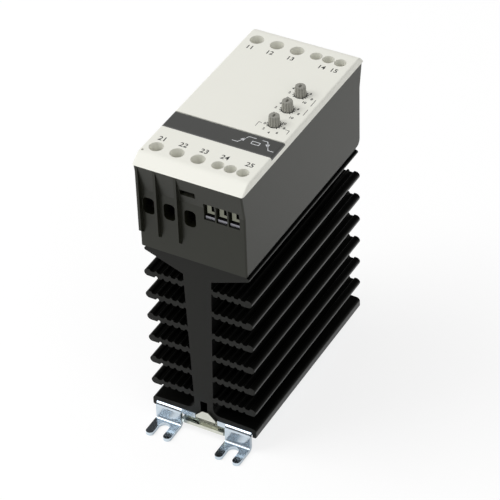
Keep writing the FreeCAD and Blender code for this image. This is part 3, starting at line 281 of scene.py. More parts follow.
def moulded_plastic(
    name,
    colour,
    roughness,
    grain=0.16,
    depth=0.012,
    uneven=0.06,
    gloss=0.5,
    tint=WHITE,
):
    recipe = Recipe(name)
    spark = recipe.noise(grain, 3.0)
    cloud = recipe.noise(CLOUD_GRAIN)
    darker = scaled(colour, 1 - uneven)
    tone = recipe.blend(cloud, darker, scaled(colour, 1 + uneven))
    tone = recipe.blend(spark * SPARK_SHARE, tone, darker)
    return recipe.surface(
        Base_Color=tone,
        Roughness=roughness - SPARK_ROUGHENS / 2 + spark * SPARK_ROUGHENS,
        Specular_IOR_Level=gloss,
        Specular_Tint=tint,
        Normal=recipe.bump(spark, depth),
    )


black_housing = moulded_plastic(
    "black_housing",
    shade(0.009, 0.0094, 0.0052),
    0.34,
    depth=0.006,
    gloss=0.345,
    tint=shade(0.985, 1.0, 0.94),
)
ivory_cover = moulded_plastic(
    "ivory_cover",
    shade(0.87, 0.866, 0.795),
    0.52,
    grain=0.14,
    depth=0.006,
    uneven=0.012,
)
knob_grey = moulded_plastic(
    "knob_grey", shade(0.315, 0.31, 0.275), 0.5, grain=0.12, depth=0.01, uneven=0.08
)
black_moulding = moulded_plastic("black_moulding", shade(0.025, 0.025, 0.026), 0.45)
relay_orange = moulded_plastic("relay_orange", shade(0.62, 0.22, 0.05), 0.4)
trimmer_blue = moulded_plastic("trimmer_blue", shade(0.03, 0.11, 0.36), 0.4)
coupler_white = moulded_plastic("coupler_white", shade(0.7, 0.7, 0.66), 0.4)
film_yellow = moulded_plastic("film_yellow", shade(0.5, 0.36, 0.05), 0.4)
varistor_blue = moulded_plastic("varistor_blue", shade(0.02, 0.07, 0.3), 0.3)
sleeve_dark = moulded_plastic("sleeve_dark", shade(0.012, 0.014, 0.04), 0.35)
cement_tan = moulded_plastic(
    "cement_tan", shade(0.48, 0.42, 0.3), 0.7, grain=0.3, depth=0.03
)
ferrite_grey = moulded_plastic("ferrite_grey", shade(0.04, 0.037, 0.036), 0.65)
pad_grey = moulded_plastic("pad_grey", shade(0.5, 0.5, 0.45), 0.75)
lamp_lens = moulded_plastic("lamp_lens", shade(0.5, 0.62, 0.18), 0.15)
print("plastics", len(bpy.data.materials))

# %% [markdown]
# ### Black anodised aluminium
#
# The heatsink is a sawn length of extrusion. Fine die lines run along it, its ends
# carry faint saw marks, and the black layer is thin and satin. The same recipe serves
# both, because a mask from the normal tells the sawn ends from the drawn sides. A
# second mask gives upright faces a clear coat, whose shine draws a thin line along
# the tip of each fin.

# %% Anodised aluminium
ALONG_THE_DIE = (1, 0.004, 1)
ACROSS_THE_SAW = (0.06, 1, 1)
END_LIMIT = 0.7         # how far a normal points along Y where the saw has cut
UPRIGHT_LIMIT = 0.36    # how far a face may tilt and still catch the light
UPRIGHT_FADE = 0.28
SHEEN = 0.07
COAT_ON_ENDS = 0.22
COAT_ROUGHNESS = 0.34


def anodised(name):
    recipe = Recipe(name)
    die_lines = recipe.noise(0.35, 2.0, ALONG_THE_DIE)
    saw_marks = recipe.noise(0.5, 3.0, ACROSS_THE_SAW)
    powder = recipe.noise(0.12)
    facing = recipe.add("ShaderNodeTexCoord", output="Normal")
    _, along, upward = recipe.parts(facing)
    end_face = recipe.maths("ABSOLUTE", along) > END_LIMIT
    tilt = recipe.maths("ABSOLUTE", upward)
    upright = ((UPRIGHT_LIMIT - tilt) / UPRIGHT_FADE).clamped() * (1 - end_face)
    lines = die_lines * (1 - end_face) + saw_marks * end_face
    tone = recipe.blend(
        powder, shade(0.0018, 0.0019, 0.0016), shade(0.0032, 0.0033, 0.003)
    )
    tone = recipe.blend(end_face * 0.8, tone, shade(0.008, 0.0082, 0.0072))
    return recipe.surface(
        Base_Color=tone,
        Roughness=0.3 + lines * 0.1 + end_face * 0.1,
        Specular_IOR_Level=SHEEN,
        Specular_Tint=shade(0.98, 1.0, 0.9),
        Coat_Weight=end_face * COAT_ON_ENDS + upright,
        Coat_Roughness=COAT_ROUGHNESS,
        Normal=recipe.bump(lines * 0.7 + powder * 0.3, 0.012),
    )


black_anodised = anodised("black_anodised")
print("nodes in the finish", len(black_anodised.node_tree.nodes))

# %% [markdown]
# ### Metals
#
# The bracket is bright zinc over cold rolled sheet: smooth enough to mirror the black
# fins and the white table, slightly blue, with faint rolling lines. Screws, cages,
# brass and tin use the same recipe with other colours and other roughness. The cages
# and the tinned contacts sit deep in the terminal holes, and their colours are darkened
# well below bare steel and tin as painted shade of the holes.

# %% Metals
ROLLING_GRAIN = 0.5
ROLLED_ALONG_Y = (1, 0.05, 1)
ROLLING_ROUGHENS = 0.08
CLOUDY = 0.08


def metal(name, colour, roughness):
    recipe = Recipe(name)
    rolling = recipe.noise(ROLLING_GRAIN, 3.0, ROLLED_ALONG_Y)
    cloud = recipe.noise(3.0, 3.0)
    tone = recipe.blend(cloud, scaled(colour, 1 - CLOUDY * 2), colour)
    evenly = roughness - ROLLING_ROUGHENS / 2
    return recipe.surface(
        Base_Color=tone,
        Metallic=1.0,
        Roughness=evenly + rolling * ROLLING_ROUGHENS + cloud * CLOUDY,
        Normal=recipe.bump(rolling, 0.006),
    )


zinc_sheet = metal("zinc_sheet", shade(0.68, 0.77, 0.85), 0.15)
latch_sheet = metal("latch_sheet", shade(0.74, 0.75, 0.68), 0.14)
spring_steel = metal("spring_steel", shade(0.5, 0.5, 0.52), 0.25)
screw_steel = metal("screw_steel", shade(0.6, 0.61, 0.63), 0.25)
# Dark steel, darkened below bare steel as painted shade inside the terminal holes.
cage_steel = metal("cage_steel", shade(0.26, 0.26, 0.29), 0.3)
bar_steel = metal("bar_steel", shade(0.45, 0.45, 0.48), 0.3)
brass_strip = metal("brass_strip", shade(0.78, 0.55, 0.26), 0.2)
# Dull tin, darkened well below real tin as painted shade inside the terminal holes.
tinned_brass = metal("tinned_brass", shade(0.2, 0.205, 0.165), 0.3)
print("plastics and metals", len(bpy.data.materials))

# %% [markdown]
# ### Film, print and board
#
# The dark stripe is a satin film. The print on the cover is thin dark ink, and the
# marks on the stripe are pale ink. The boards inside are green laminate whose copper
# tracks lift the solder resist a little.

# %% Film, print and board
INK_FADES_TO = 0.85
INK_PALES_BY = 0.02
TRACK_SCALE = 160.0
TRACK_GAP = 0.06


def satin_film(name):
    recipe = Recipe(name)
    cloud = recipe.noise(9.0)
    tooth = recipe.noise(0.1)
    tone = recipe.blend(
        cloud, shade(0.078, 0.079, 0.076), shade(0.085, 0.086, 0.082)
    )
    return recipe.surface(
        Base_Color=tone,
        Roughness=0.36 + tooth * 0.08,
        Normal=recipe.bump(tooth, 0.004),
    )


def ink(name, colour):
    recipe = Recipe(name)
    grain = recipe.noise(0.08)
    faded = shade(*(channel * INK_FADES_TO + INK_PALES_BY for channel in colour[:3]))
    tone = recipe.blend(grain, colour, faded)
    return recipe.surface(Base_Color=tone, Roughness=0.55 + grain * 0.1)


def laminate(name):
    recipe = Recipe(name)
    tracks = recipe.add(
        "ShaderNodeTexBrick",
        {"Vector": recipe.place, "Scale": TRACK_SCALE, "Mortar Size": TRACK_GAP},
        output="Fac",
    )
    weave = recipe.noise(0.4)
    tone = recipe.blend(tracks, shade(0.01, 0.09, 0.03), shade(0.02, 0.16, 0.06))
    return recipe.surface(
        Base_Color=tone,
        Roughness=0.3 + weave * 0.1,
        Normal=recipe.bump(tracks + weave * 0.2, 0.02),
    )


stripe_film = satin_film("stripe_film")
dark_ink = ink("dark_ink", shade(0.03, 0.03, 0.03))
pale_ink = ink("pale_ink", shade(0.8, 0.81, 0.84))
green_board = laminate("green_board")
print("finishes", len(bpy.data.materials))

# %% [markdown]
# ## Finishes on the carried-over solids
#
# Most solids already have the right shape. Each gets the finish of its material slot.

# %% Dress the solids
FINISHES = {
    "black_anodised": black_anodised,
    "housing_plastic": black_housing,
    "cover_plastic": ivory_cover,
    "stripe_film": stripe_film,
    "knob_plastic": knob_grey,
    "zinc_sheet": zinc_sheet,
    "latch_sheet": latch_sheet,
    "spring_steel": spring_steel,
    "screw_steel": screw_steel,
    "cage_steel": cage_steel,
    "brass_strip": brass_strip,
    "tinned_brass": tinned_brass,
    "pad_silicone": pad_grey,
    "black_epoxy": black_moulding,
    "bar_steel": bar_steel,
    "board_laminate": green_board,
    "varistor_coating": varistor_blue,
    "film_case": film_yellow,
    "resistor_body": cement_tan,
    "coupler_body": coupler_white,
    "connector_plastic": black_moulding,
    "trimmer_case": trimmer_blue,
    "transformer_core": ferrite_grey,
    "capacitor_sleeve": sleeve_dark,
    "relay_case": relay_orange,
    "lamp_lens": lamp_lens,
}
node_slots = {
    part["node"]: part["material_slot"] for part in frame["record"]["subparts"]
}
for node, solid in frame["nodes"].items():
    solid.data.materials.clear()
    solid.data.materials.append(FINISHES[node_slots[node]])
print("dressed", len(node_slots), "solids in", len(FINISHES), "finishes")

# %% [markdown]
# ## Growing shapes from node trees
#
# A shape that repeats is described once, as a Geometry Nodes tree with named sizes.
# The tree is run once and its result is kept as a plain mesh, because the finished
# model must not depend on the modifier.


# %% Tree helpers
class Growth(Graph):
    """A Geometry Nodes tree with named sizes and one geometry output."""

    def __init__(self, name, sizes):
        super().__init__(bpy.data.node_groups.new(name, "GeometryNodeTree"))
        for label, kind in sizes.items():
            self.tree.interface.new_socket(
                label, in_out="INPUT", socket_type=f"NodeSocket{kind}"
            )
        self.tree.interface.new_socket(
            "Geometry", in_out="OUTPUT", socket_type="NodeSocketGeometry"
        )
        self.entry = self.tree.nodes.new("NodeGroupInput")

    def size(self, label):
        return Wire(self, self.entry, label)

    def end(self, geometry, finish):
        real = self.add("GeometryNodeRealizeInstances", {0: geometry})
        coated = self.add(
            "GeometryNodeSetMaterial", {"Geometry": real, "Material": finish}
        )
        self.add("NodeGroupOutput", {0: coated})

    def join(self, *geometries):
        node = self.tree.nodes.new("GeometryNodeJoinGeometry")
        for geometry in geometries:
            self.tree.links.new(geometry.socket, node.inputs[0])
        return Wire(self, node, 0)

    def moved(self, geometry, shift=(0, 0, 0), turn=(0, 0, 0)):
        return self.add(
            "GeometryNodeTransform",
            {"Geometry": geometry, "Translation": shift, "Rotation": turn},
        )


def final_mesh(thing):
    """The mesh of an object with its modifiers or its text worked out."""
    graph = bpy.context.evaluated_depsgraph_get()
    return bpy.data.meshes.new_from_object(thing.evaluated_get(graph))


def grow(name, growth, sizes):
    """Runs a tree once and keeps its result as a mesh object."""
    host = placed(name + "_host", bpy.data.meshes.new(name + "_host"))
    modifier = host.modifiers.new("growth", "NODES")
    modifier.node_group = growth.tree
    for item in growth.tree.interface.items_tree:
        if item.in_out == "INPUT":
            modifier[item.identifier] = sizes[item.name]
    mesh = final_mesh(host)
    bpy.data.objects.remove(host)
    mesh.name = name
    print(name, "faces", len(mesh.polygons))
    return placed(name, mesh)


# %% [markdown]
# ## The fins
#
# The extrusion has six fins on each side. Their surfaces are corrugated so that they
# give off more heat, with narrow crests and wider troughs, and both surfaces of a fin
# follow the same wave. Each ends in a thicker round tip. One fin is drawn as a closed
# outline from a formula, filled, stretched along the module and then repeated. The
# tree takes all its sizes as named inputs, so the same tree could make other fins.

# %% Sizes of the fins
fin_tree = Growth(
    "corrugated_fins",
    {
        "Root": "Float",
        "Tip": "Float",
        "Thickness": "Float",
        "Wave": "Float",
        "Wave Pitch": "Float",
        "First Crest": "Float",
        "Crest Half": "Float",
        "Flank": "Float",
        "Length": "Float",
        "Top Fin": "Float",
        "Fin Pitch": "Float",
        "Fin Count": "Int",
        "Finish": "Material",
    },
)
print("the tree of the fins has", len(fin_tree.tree.interface.items_tree), "sockets")

# %% [markdown]
# ### The outline of one fin
#
# The points of a mesh line are moved by their index: out along the top, round the tip
# and back along the underside. Comparing the index gives masks of 0 and 1 for the three
# stretches, so that one sum places every point. The height of the wave follows from the
# distance to the nearest crest, smoothed so that crest and flank run into each other.

# %% Outline of a fin
FIN_SAMPLES = 150
TIP_SAMPLES = 14


def fin_outline(g):
    """The closed outline of one fin, in the XY plane, as a filled face."""
    count = 2 * FIN_SAMPLES + TIP_SAMPLES
    index = g.add("GeometryNodeInputIndex")
    radius = (g.size("Thickness") + g.size("Wave")) / 2
    centre = g.size("Tip") - radius
    on_top = index < FIN_SAMPLES - 0.5
    on_bottom = index > FIN_SAMPLES + TIP_SAMPLES - 0.5
    on_tip = 1 - on_top - on_bottom
    step_top = index / (FIN_SAMPLES - 1)
    step_bottom = (count - 1 - index) / (FIN_SAMPLES - 1)
    share = step_top * on_top + step_bottom * on_bottom
    x_flat = g.size("Root") + (centre - g.size("Root")) * share
    turn = (index - FIN_SAMPLES + 1) / (TIP_SAMPLES + 1) * math.pi
    x_tip = centre + radius * g.maths("SINE", turn)
    z_tip = radius * g.maths("COSINE", turn)
    periods = (g.size("First Crest") - x_flat) / g.size("Wave Pitch")
    nearest = g.maths("ROUND", periods)
    away = g.maths("ABSOLUTE", periods - nearest) * g.size("Wave Pitch")
    climb = (g.size("Crest Half") + g.size("Flank") - away) / g.size("Flank")
    climb = climb.clamped()
    climb = climb * climb * (3 - 2 * climb)
    beyond = x_flat > g.size("First Crest")
    before_first = nearest > 0.5
    top = -1 * radius + g.size("Thickness")
    z_top = top + g.size("Wave") * (climb * (1 - beyond) + beyond)
    z_bottom = -1 * radius + g.size("Wave") * climb * before_first
    x = x_flat * (on_top + on_bottom) + x_tip * on_tip
    z = z_top * on_top + z_bottom * on_bottom + z_tip * on_tip
    line = g.add("GeometryNodeMeshLine", {"Count": count})
    shaped = g.add(
        "GeometryNodeSetPosition", {"Geometry": line, "Position": g.vector(x, z, 0)}
    )
    curve = g.add("GeometryNodeMeshToCurve", {"Mesh": shaped})
    closed = g.add("GeometryNodeSetSplineCyclic", {"Geometry": curve, "Cyclic": True})
    return g.add("GeometryNodeFillCurve", {0: closed})


# %% [markdown]
# ### Fins along the module
#
# The filled outline is extruded, and a flipped copy closes the end that it left. The
# points of a second line carry one fin each, and half a turn about the middle gives the
# fins of the other side.

# %% Corrugated fins
WELD_DISTANCE = 1e-6


def stretched_along(g, face, length):
    """A filled outline given a length, closed at both ends."""
    pulled = g.add(
        "GeometryNodeExtrudeMesh",
        {
            "Mesh": face,
            "Offset": g.vector(0, 0, 1),
            "Offset Scale": length,
            "Individual": False,
        },
        mode="FACES",
    )
    back = g.add("GeometryNodeFlipFaces", {"Mesh": face})
    solid = g.add(
        "GeometryNodeMergeByDistance",
        {"Geometry": g.join(pulled, back), "Distance": WELD_DISTANCE},
    )
    upright = g.moved(solid, turn=(math.pi / 2, 0, 0))
    return g.moved(upright, shift=g.vector(0, length / 2, 0))


def grow_fins(g):
    fin = stretched_along(g, fin_outline(g), g.size("Length"))
    rack = g.add(
        "GeometryNodeMeshLine",
        {
            "Count": g.size("Fin Count"),
            "Start Location": g.vector(0, 0, g.size("Top Fin")),
            "Offset": g.vector(0, 0, -1 * g.size("Fin Pitch")),
        },
    )
    right = g.add("GeometryNodeInstanceOnPoints", {"Points": rack, "Instance": fin})
    left = g.moved(right, turn=(0, 0, math.pi))
    g.end(g.join(right, left), g.size("Finish"))


grow_fins(fin_tree)
sink_low, sink_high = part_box("heatsink")
FIN_TIP = sink_high.x
sink_length = sink_high.y - sink_low.y
fins = grow(
    "heatsink_fins",
    fin_tree,
    {
        "Root": 3.6 * MM,
        "Tip": FIN_TIP,
        "Thickness": 2.4 * MM,
        "Wave": 0.8 * MM,
        "Wave Pitch": 2.9 * MM,
        "First Crest": FIN_TIP - 2.1 * MM,
        "Crest Half": 0.22 * MM,
        "Flank": 0.6 * MM,
        "Length": sink_length - 0.04 * MM,
        "Top Fin": 71.35 * MM,
        "Fin Pitch": 10.55 * MM,
        "Fin Count": 6,
        "Finish": black_anodised,
    },
)

# %% [markdown]
# ## Outlines in millimetres
#
# Other shapes are drawn from points: an outline is stretched along the module, and
# arcs give it its round corners. The same arcs later draw the rings round the dials.


# %% Outline helpers
def arc(centre_x, centre_y, radius, start, stop, steps=8):
    """Points of an arc from one angle to another, in degrees."""
    points = []
    for k in range(steps + 1):
        angle = math.radians(start + (stop - start) * k / steps)
        x = centre_x + radius * math.cos(angle)
        y = centre_y + radius * math.sin(angle)
        points.append((x, y))
    return points


def closed_piece(name, shape, finish):
    """A shape as a piece of the scene, with all its faces turned outwards."""
    bmesh.ops.recalc_face_normals(shape, faces=shape.faces)
    mesh = bpy.data.meshes.new(name)
    shape.to_mesh(mesh)
    shape.free()
    mesh.materials.append(finish)
    return placed(name, mesh)


def prism(name, outline, low, high, finish):
    """An (x, z) outline in millimetres, stretched along Y."""
    shape = bmesh.new()
    near = [shape.verts.new((x * MM, low * MM, z * MM)) for x, z in outline]
    shape.faces.new(near)
    pulled = bmesh.ops.extrude_face_region(shape, geom=shape.faces[:])
    moved = [v for v in pulled["geom"] if isinstance(v, bmesh.types.BMVert)]
    bmesh.ops.translate(shape, verts=moved, vec=(0, (high - low) * MM, 0))
    return closed_piece(name, shape, finish)


def bevel(piece, width, angle=35):
    """Breaks the sharp edges of a piece and keeps the result as its mesh."""
    modifier = piece.modifiers.new("edges", "BEVEL")
    modifier.width = width * MM
    modifier.segments = 1
    modifier.limit_method = "ANGLE"
    modifier.angle_limit = math.radians(angle)
    modifier.harden_normals = False
    mesh = final_mesh(piece)
    piece.modifiers.clear()
    piece.data = mesh


# %% [markdown]
# ## The core of the heatsink
#
# The rest of the extrusion is one outline too: the flange under the housing, the web
# that narrows towards the wall, and the base with its round corners. It is drawn as
# points, stretched along the module and given small bevels where the saw left it.

# %% Core of the heatsink
SEAT = 85.2             # where the housing stands on the flange
FLANGE_HALF = 20.8
FLANGE_STEP = 1.9       # from the seat down to the round nose of the flange
NOSE_CENTRE = (21.0, SEAT - 2.7)
NOSE_RADIUS = 0.8
WEB_TOP = (5.85, SEAT - 9.1)
WEB_FOOT = (4.0, 13.9)
FILLET_CENTRE = (7.0, 13.95)
FILLET_RADIUS = 3.0
CORNER_CENTRE = (20.9, 9.0)
CORNER_RADIUS = 1.5
BASE_HALF = 22.4
BASE_LOW = 6.2
BASE_CHAMFER = 0.5
RECESS_HALF = 20.7      # the bracket's plate lies in a recess of the base
PLATE_TOP = 8.8
CHANNEL_HALF = 1.45
CHANNEL_TOP = 15.7
SAWN_BEVEL = 0.12


def core_half():
    """The right half of the outline, from the flange down to the channel."""
    points = [(FLANGE_HALF, SEAT), (FLANGE_HALF, SEAT - FLANGE_STEP)]
    points += arc(*NOSE_CENTRE, NOSE_RADIUS, 90, -90)
    points += [WEB_TOP, WEB_FOOT]
    points += arc(*FILLET_CENTRE, FILLET_RADIUS, 180, 270)
    points += arc(*CORNER_CENTRE, CORNER_RADIUS, 90, 0, 5)
    points += [
        (BASE_HALF, BASE_LOW + BASE_CHAMFER),
        (BASE_HALF - BASE_CHAMFER, BASE_LOW),
        (RECESS_HALF, BASE_LOW),
        (RECESS_HALF, PLATE_TOP),
        (CHANNEL_HALF, PLATE_TOP),
        (CHANNEL_HALF, CHANNEL_TOP),
    ]
    return points


right_half = core_half()
left_half = [(-x, z) for x, z in reversed(right_half)]
core = prism(
    "heatsink_core",
    right_half + left_half,
    sink_low.y / MM,
    sink_high.y / MM,
    black_anodised,
)
bevel(core, SAWN_BEVEL)
for piece in (core, fins):
    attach(piece, "module")
    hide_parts("heatsink")
print("core faces", len(core.data.polygons))

# %% [markdown]
# ## The latch spring
#
# A spring is a helix swept by a round wire, so it is grown from a spiral. On the real
# latch the coils close up when it is pulled out; here the spring is one fixed mesh on
# the module.

# %% Latch spring
STEPS_PER_TURN = 40
WIRE_SIDES = 12

spring_tree = Growth(
    "coil_spring",
    {
        "Turns": "Float",
        "Mean Radius": "Float",
        "Wire Radius": "Float",
        "Length": "Float",
        "Start": "Vector",
        "Finish": "Material",
    },
)


def grow_spring(g):
    spiral = g.add(
        "GeometryNodeCurveSpiral",
        {
            "Resolution": STEPS_PER_TURN,
            "Rotations": g.size("Turns"),
            "Start Radius": g.size("Mean Radius"),
            "End Radius": g.size("Mean Radius"),
            "Height": g.size("Length"),
        },
    )
    wire = g.add(
        "GeometryNodeCurvePrimitiveCircle",
        {"Resolution": WIRE_SIDES, "Radius": g.size("Wire Radius")},
    )
    coil = g.add(
        "GeometryNodeCurveToMesh",
        {"Curve": spiral, "Profile Curve": wire, "Fill Caps": True},
    )
    lying = g.moved(coil, shift=g.size("Start"), turn=(-math.pi / 2, 0, 0))
    g.end(lying, g.size("Finish"))


grow_spring(spring_tree)
SPRING_START = -38.5
SPRING_END = -22.9
SPRING_HEIGHT = 2.95
spring = grow(
    "coil_of_the_latch",
    spring_tree,
    {
        "Turns": 9.0,
        "Mean Radius": 1.5 * MM,
        "Wire Radius": 0.25 * MM,
        "Length": (SPRING_END - SPRING_START) * MM,
        "Start": Vector((0, SPRING_START, SPRING_HEIGHT)) * MM,
        "Finish": spring_steel,
    },
)
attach(spring, "module")
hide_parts("latch_spring")
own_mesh(spring)

# %% [markdown]
# ## Fluted knobs
#
# The three dials are small fluted knobs. A knob is a stack of rings: the flutes are a
# rule on the radius, so each ring is a circle whose radius rises and falls with the
# angle, and the crown ends in a rounded rim with a short slot for a screwdriver.

# %% Rules of the knobs
FLUTES = 12
GROOVE_SHARE = 0.2      # half of a groove, as a share of the way to the next one
SLOT_STRETCH = 2.2


def fluted(angle, radius, depth):
    """The radius at an angle of a knob with round flutes between its ribs."""
    phase = (angle * FLUTES / (2 * math.pi)) % 1.0
    groove = max(0.0, 1 - abs(phase - 0.5) / GROOVE_SHARE)
    return radius - depth * (groove * groove * (3 - 2 * groove))


def slotted(angle, half_width):
    """The radius at an angle of an oval slot that is longer along Y."""
    return half_width / math.hypot(math.cos(angle), math.sin(angle) / SLOT_STRETCH)


print("flutes round a knob", FLUTES)

# %% [markdown]
# ### Knobs from rings
#
# The rings are joined by strips of faces, and the edges that are sharp on a moulded
# knob stay sharp while the rest is shaded smooth.

# %% Knobs
KNOB_RIM = 96
KNOB_CLEARANCE = 0.1    # between the cover and the skirt of a knob
CREASE_ANGLE = 38
knob_low, knob_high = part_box("trimmer_knob_1")
knob_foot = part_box("front_cover")[1].z + KNOB_CLEARANCE * MM


def fluted_knob(name, x, y):
    """Rings from the shaft up over the skirt and into the slot."""
    top = knob_high.z / MM
    foot = knob_foot / MM
    # Each ring has a radius, a height and the depth of its flutes. The rings of the
    # slot have no such depth.
    rings = [
        (1.5, knob_low.z / MM, 0),
        (1.5, foot, 0),
        (2.1, foot, 0.26),
        (2.24, foot + 0.15, 0.3),
        (1.98, top - 0.3, 0.3),
        (1.92, top - 0.1, 0.24),
        (1.8, top - 0.02, 0.12),
        (1.65, top, 0),
        (0.5, top, None),
        (0.42, top - 0.12, None),
        (0.36, top - 0.9, None),
    ]
    shape = bmesh.new()
    loops = []
    for radius, z, depth in rings:
        loop = []
        for k in range(KNOB_RIM):
            angle = 2 * math.pi * k / KNOB_RIM
            if depth is None:
                reach = slotted(angle, radius)
            else:
                reach = fluted(angle, radius, depth)
            spot = (x + reach * math.cos(angle), y + reach * math.sin(angle), z)
            loop.append(shape.verts.new(Vector(spot) * MM))
        loops.append(loop)
    for below, above in zip(loops, loops[1:]):
        for k in range(KNOB_RIM):
            n = (k + 1) % KNOB_RIM
            shape.faces.new((below[k], below[n], above[n], above[k]))
    shape.faces.new(list(reversed(loops[0])))
    shape.faces.new(loops[-1])
    piece = closed_piece(name, shape, knob_grey)
    for face in piece.data.polygons:
        face.use_smooth = True
    piece.data.set_sharp_from_angle(angle=math.radians(CREASE_ANGLE))
    return piece


knob_places = []
for k in (1, 2, 3):
    low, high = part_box(f"trimmer_knob_{k}")
    middle = (low + high) / 2 / MM
    knob_places.append((middle.x, middle.y))
    knob = fluted_knob(f"dial_knob_{k}", middle.x, middle.y)
    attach(knob, f"trimmer_knob_{k}")
    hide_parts(f"trimmer_knob_{k}")
print("knobs at", knob_places)

# %% [markdown]
# ## Print on the cover
#
# Ink lies on the surface as a very thin raised layer. Strokes and rings are ribbons,
# arrow heads are filled patches, the ticks round the dials are grown from a tree, and
# numbers are text that is made a mesh.

# %% Ribbons and patches
COVER_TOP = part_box("front_cover")[1].z / MM
INK_LOW = COVER_TOP - 0.01
INK_HIGH = COVER_TOP + 0.015
INK_HEIGHT = INK_HIGH - INK_LOW
INK_MIDDLE = (INK_HIGH + INK_LOW) / 2
SHARPEST_MITRE = 0.4


def ribbon(shape, points, width):
    """A flat stroke through points, as a thin closed strip."""
    half = width / 2
    rows = []
    for k, point in enumerate(points):
        before = Vector(points[max(k - 1, 0)])
        after = Vector(points[min(k + 1, len(points) - 1)])
        here = Vector(point)
        into = (here - before).normalized() if k else (after - here).normalized()
        away = (after - here).normalized() if k < len(points) - 1 else into
        normal_in = Vector((-into.y, into.x))
        normal_out = Vector((-away.y, away.x))
        mitre = (normal_in + normal_out).normalized()
        reach = half / max(SHARPEST_MITRE, mitre.dot(normal_in))
        left, right = here + mitre * reach, here - mitre * reach
        corners = [(left, INK_LOW), (left, INK_HIGH)]
        corners += [(right, INK_HIGH), (right, INK_LOW)]
        rows.append([shape.verts.new(Vector((p.x, p.y, z)) * MM) for p, z in corners])
    for first, second in zip(rows, rows[1:]):
        for k in range(4):
            n = (k + 1) % 4
            shape.faces.new((first[k], first[n], second[n], second[k]))
    shape.faces.new(list(reversed(rows[0])))
    shape.faces.new(rows[-1])


def print_strokes(name, strokes, width, finish):
    """Ribbons of one width on the cover, as one piece."""
    shape = bmesh.new()
    for points in strokes:
        ribbon(shape, points, width)
    piece = closed_piece(name, shape, finish)
    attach(piece, "module")
    print(name, "strokes", len(strokes), "faces", len(piece.data.polygons))


def print_patches(name, outlines, low, high, finish):
    """Flat filled patches between two heights, each from its outline."""
    shape = bmesh.new()
    for outline in outlines:
        lower, upper = (
            [shape.verts.new(Vector((x, y, z)) * MM) for x, y in outline]
            for z in (low, high)
        )
        shape.faces.new(list(reversed(lower)))
        shape.faces.new(upper)
        for k in range(len(outline)):
            n = (k + 1) % len(outline)
            shape.faces.new((lower[k], lower[n], upper[n], upper[k]))
    piece = closed_piece(name, shape, finish)
    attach(piece, "module")
    print(name, "patches", len(outlines), "faces", len(piece.data.polygons))


# %% [markdown]
# ### Marks on the stripe
#
# The stripe carries a small function sketch in pale ink: the output rises along a
# ramp, stays on, and falls along a ramp, each with an arrow head. Here it is drawn in
# a plain form. A small round dimple lies beside the first hole, and a grey patch at
# its bottom is painted shade inside it.

# %% Stripe marks
STRIPE_STROKE = 0.26
RAMP_UP = [(4.6, -22.2), (6.9, -22.2), (9.3, -17.8), (12.2, -17.8)]
RAMP_DOWN = [(14.7, -17.8), (16.8, -17.8), (19.2, -22.3), (21.4, -22.3)]
LOAD_BOX = [(11.7, -21.2), (14.8, -21.2), (14.8, -19.7), (11.7, -19.7), (11.7, -21.2)]
print_strokes("stripe_marks", [RAMP_UP, RAMP_DOWN, LOAD_BOX], STRIPE_STROKE, pale_ink)


def arrow_head(tip, tail, half_width):
    """A triangle whose tip points away from its tail."""
    tip, tail = Vector(tip), Vector(tail)
    side = (tip - tail).orthogonal().normalized() * half_width
    return [tuple(tip), tuple(tail + side), tuple(tail - side)]


arrows = [
    arrow_head((8.8, -18.7), (7.8, -20.6), 0.75),
    arrow_head((18.5, -21.1), (17.5, -19.2), 0.8),
]
print_patches("arrow_heads", arrows, INK_LOW, INK_HIGH, pale_ink)
DIMPLE_SPOT = (-21.15, -41.2)
DIMPLE_RADIUS = 0.45
DIMPLE_FLOOR = COVER_TOP - 0.3
dimple_rim = arc(*DIMPLE_SPOT, DIMPLE_RADIUS, 0, 360, 24)[:-1]
# A grey patch at the bottom of the dimple, as painted shade inside it.
print_patches(
    "dimple_painted_shade", [dimple_rim], DIMPLE_FLOOR - 0.01, DIMPLE_FLOOR + 0.02, knob_grey
)

# %% [markdown]
# ### Scales round the dials
#
# Each dial has a ring of short ticks that leaves a gap, as a turning range does. The
# tree puts one thin bar on each point of an arc and turns it to face the middle. A
# dark ring joins the ticks at the foot of the knob.

# %% Dial ticks
DIAL_SWEEP = math.radians(270)    # as far as a knob turns
RING_RADIUS = 2.25
RING_STROKE = 0.4

tick_tree = Growth(
    "dial_ticks",
    {
        "Count": "Int",
        "Sweep": "Float",
        "Inner Radius": "Float",
        "Tick Length": "Float",
        "Tick Width": "Float",
        "Tick Height": "Float",
        "Middle": "Vector",
        "Finish": "Material",
    },
)


def grow_ticks(g):
    size = g.vector(g.size("Tick Width"), g.size("Tick Length"), g.size("Tick Height"))
    bar = g.add("GeometryNodeMeshCube", {"Size": size})
    outward = g.size("Inner Radius") + g.size("Tick Length") / 2
    bar = g.moved(bar, shift=g.vector(0, outward, 0))
    points = g.add("GeometryNodeMeshLine", {"Count": g.size("Count")})
    gathered = g.add(
        "GeometryNodeSetPosition", {"Geometry": points, "Position": g.size("Middle")}
    )
    index = g.add("GeometryNodeInputIndex")
    share = index / (g.size("Count") - 1) - 0.5
    turn = g.vector(0, 0, g.size("Sweep") * share)
    ring = g.add(
        "GeometryNodeInstanceOnPoints",
        {"Points": gathered, "Instance": bar, "Rotation": turn},
    )
    g.end(ring, g.size("Finish"))


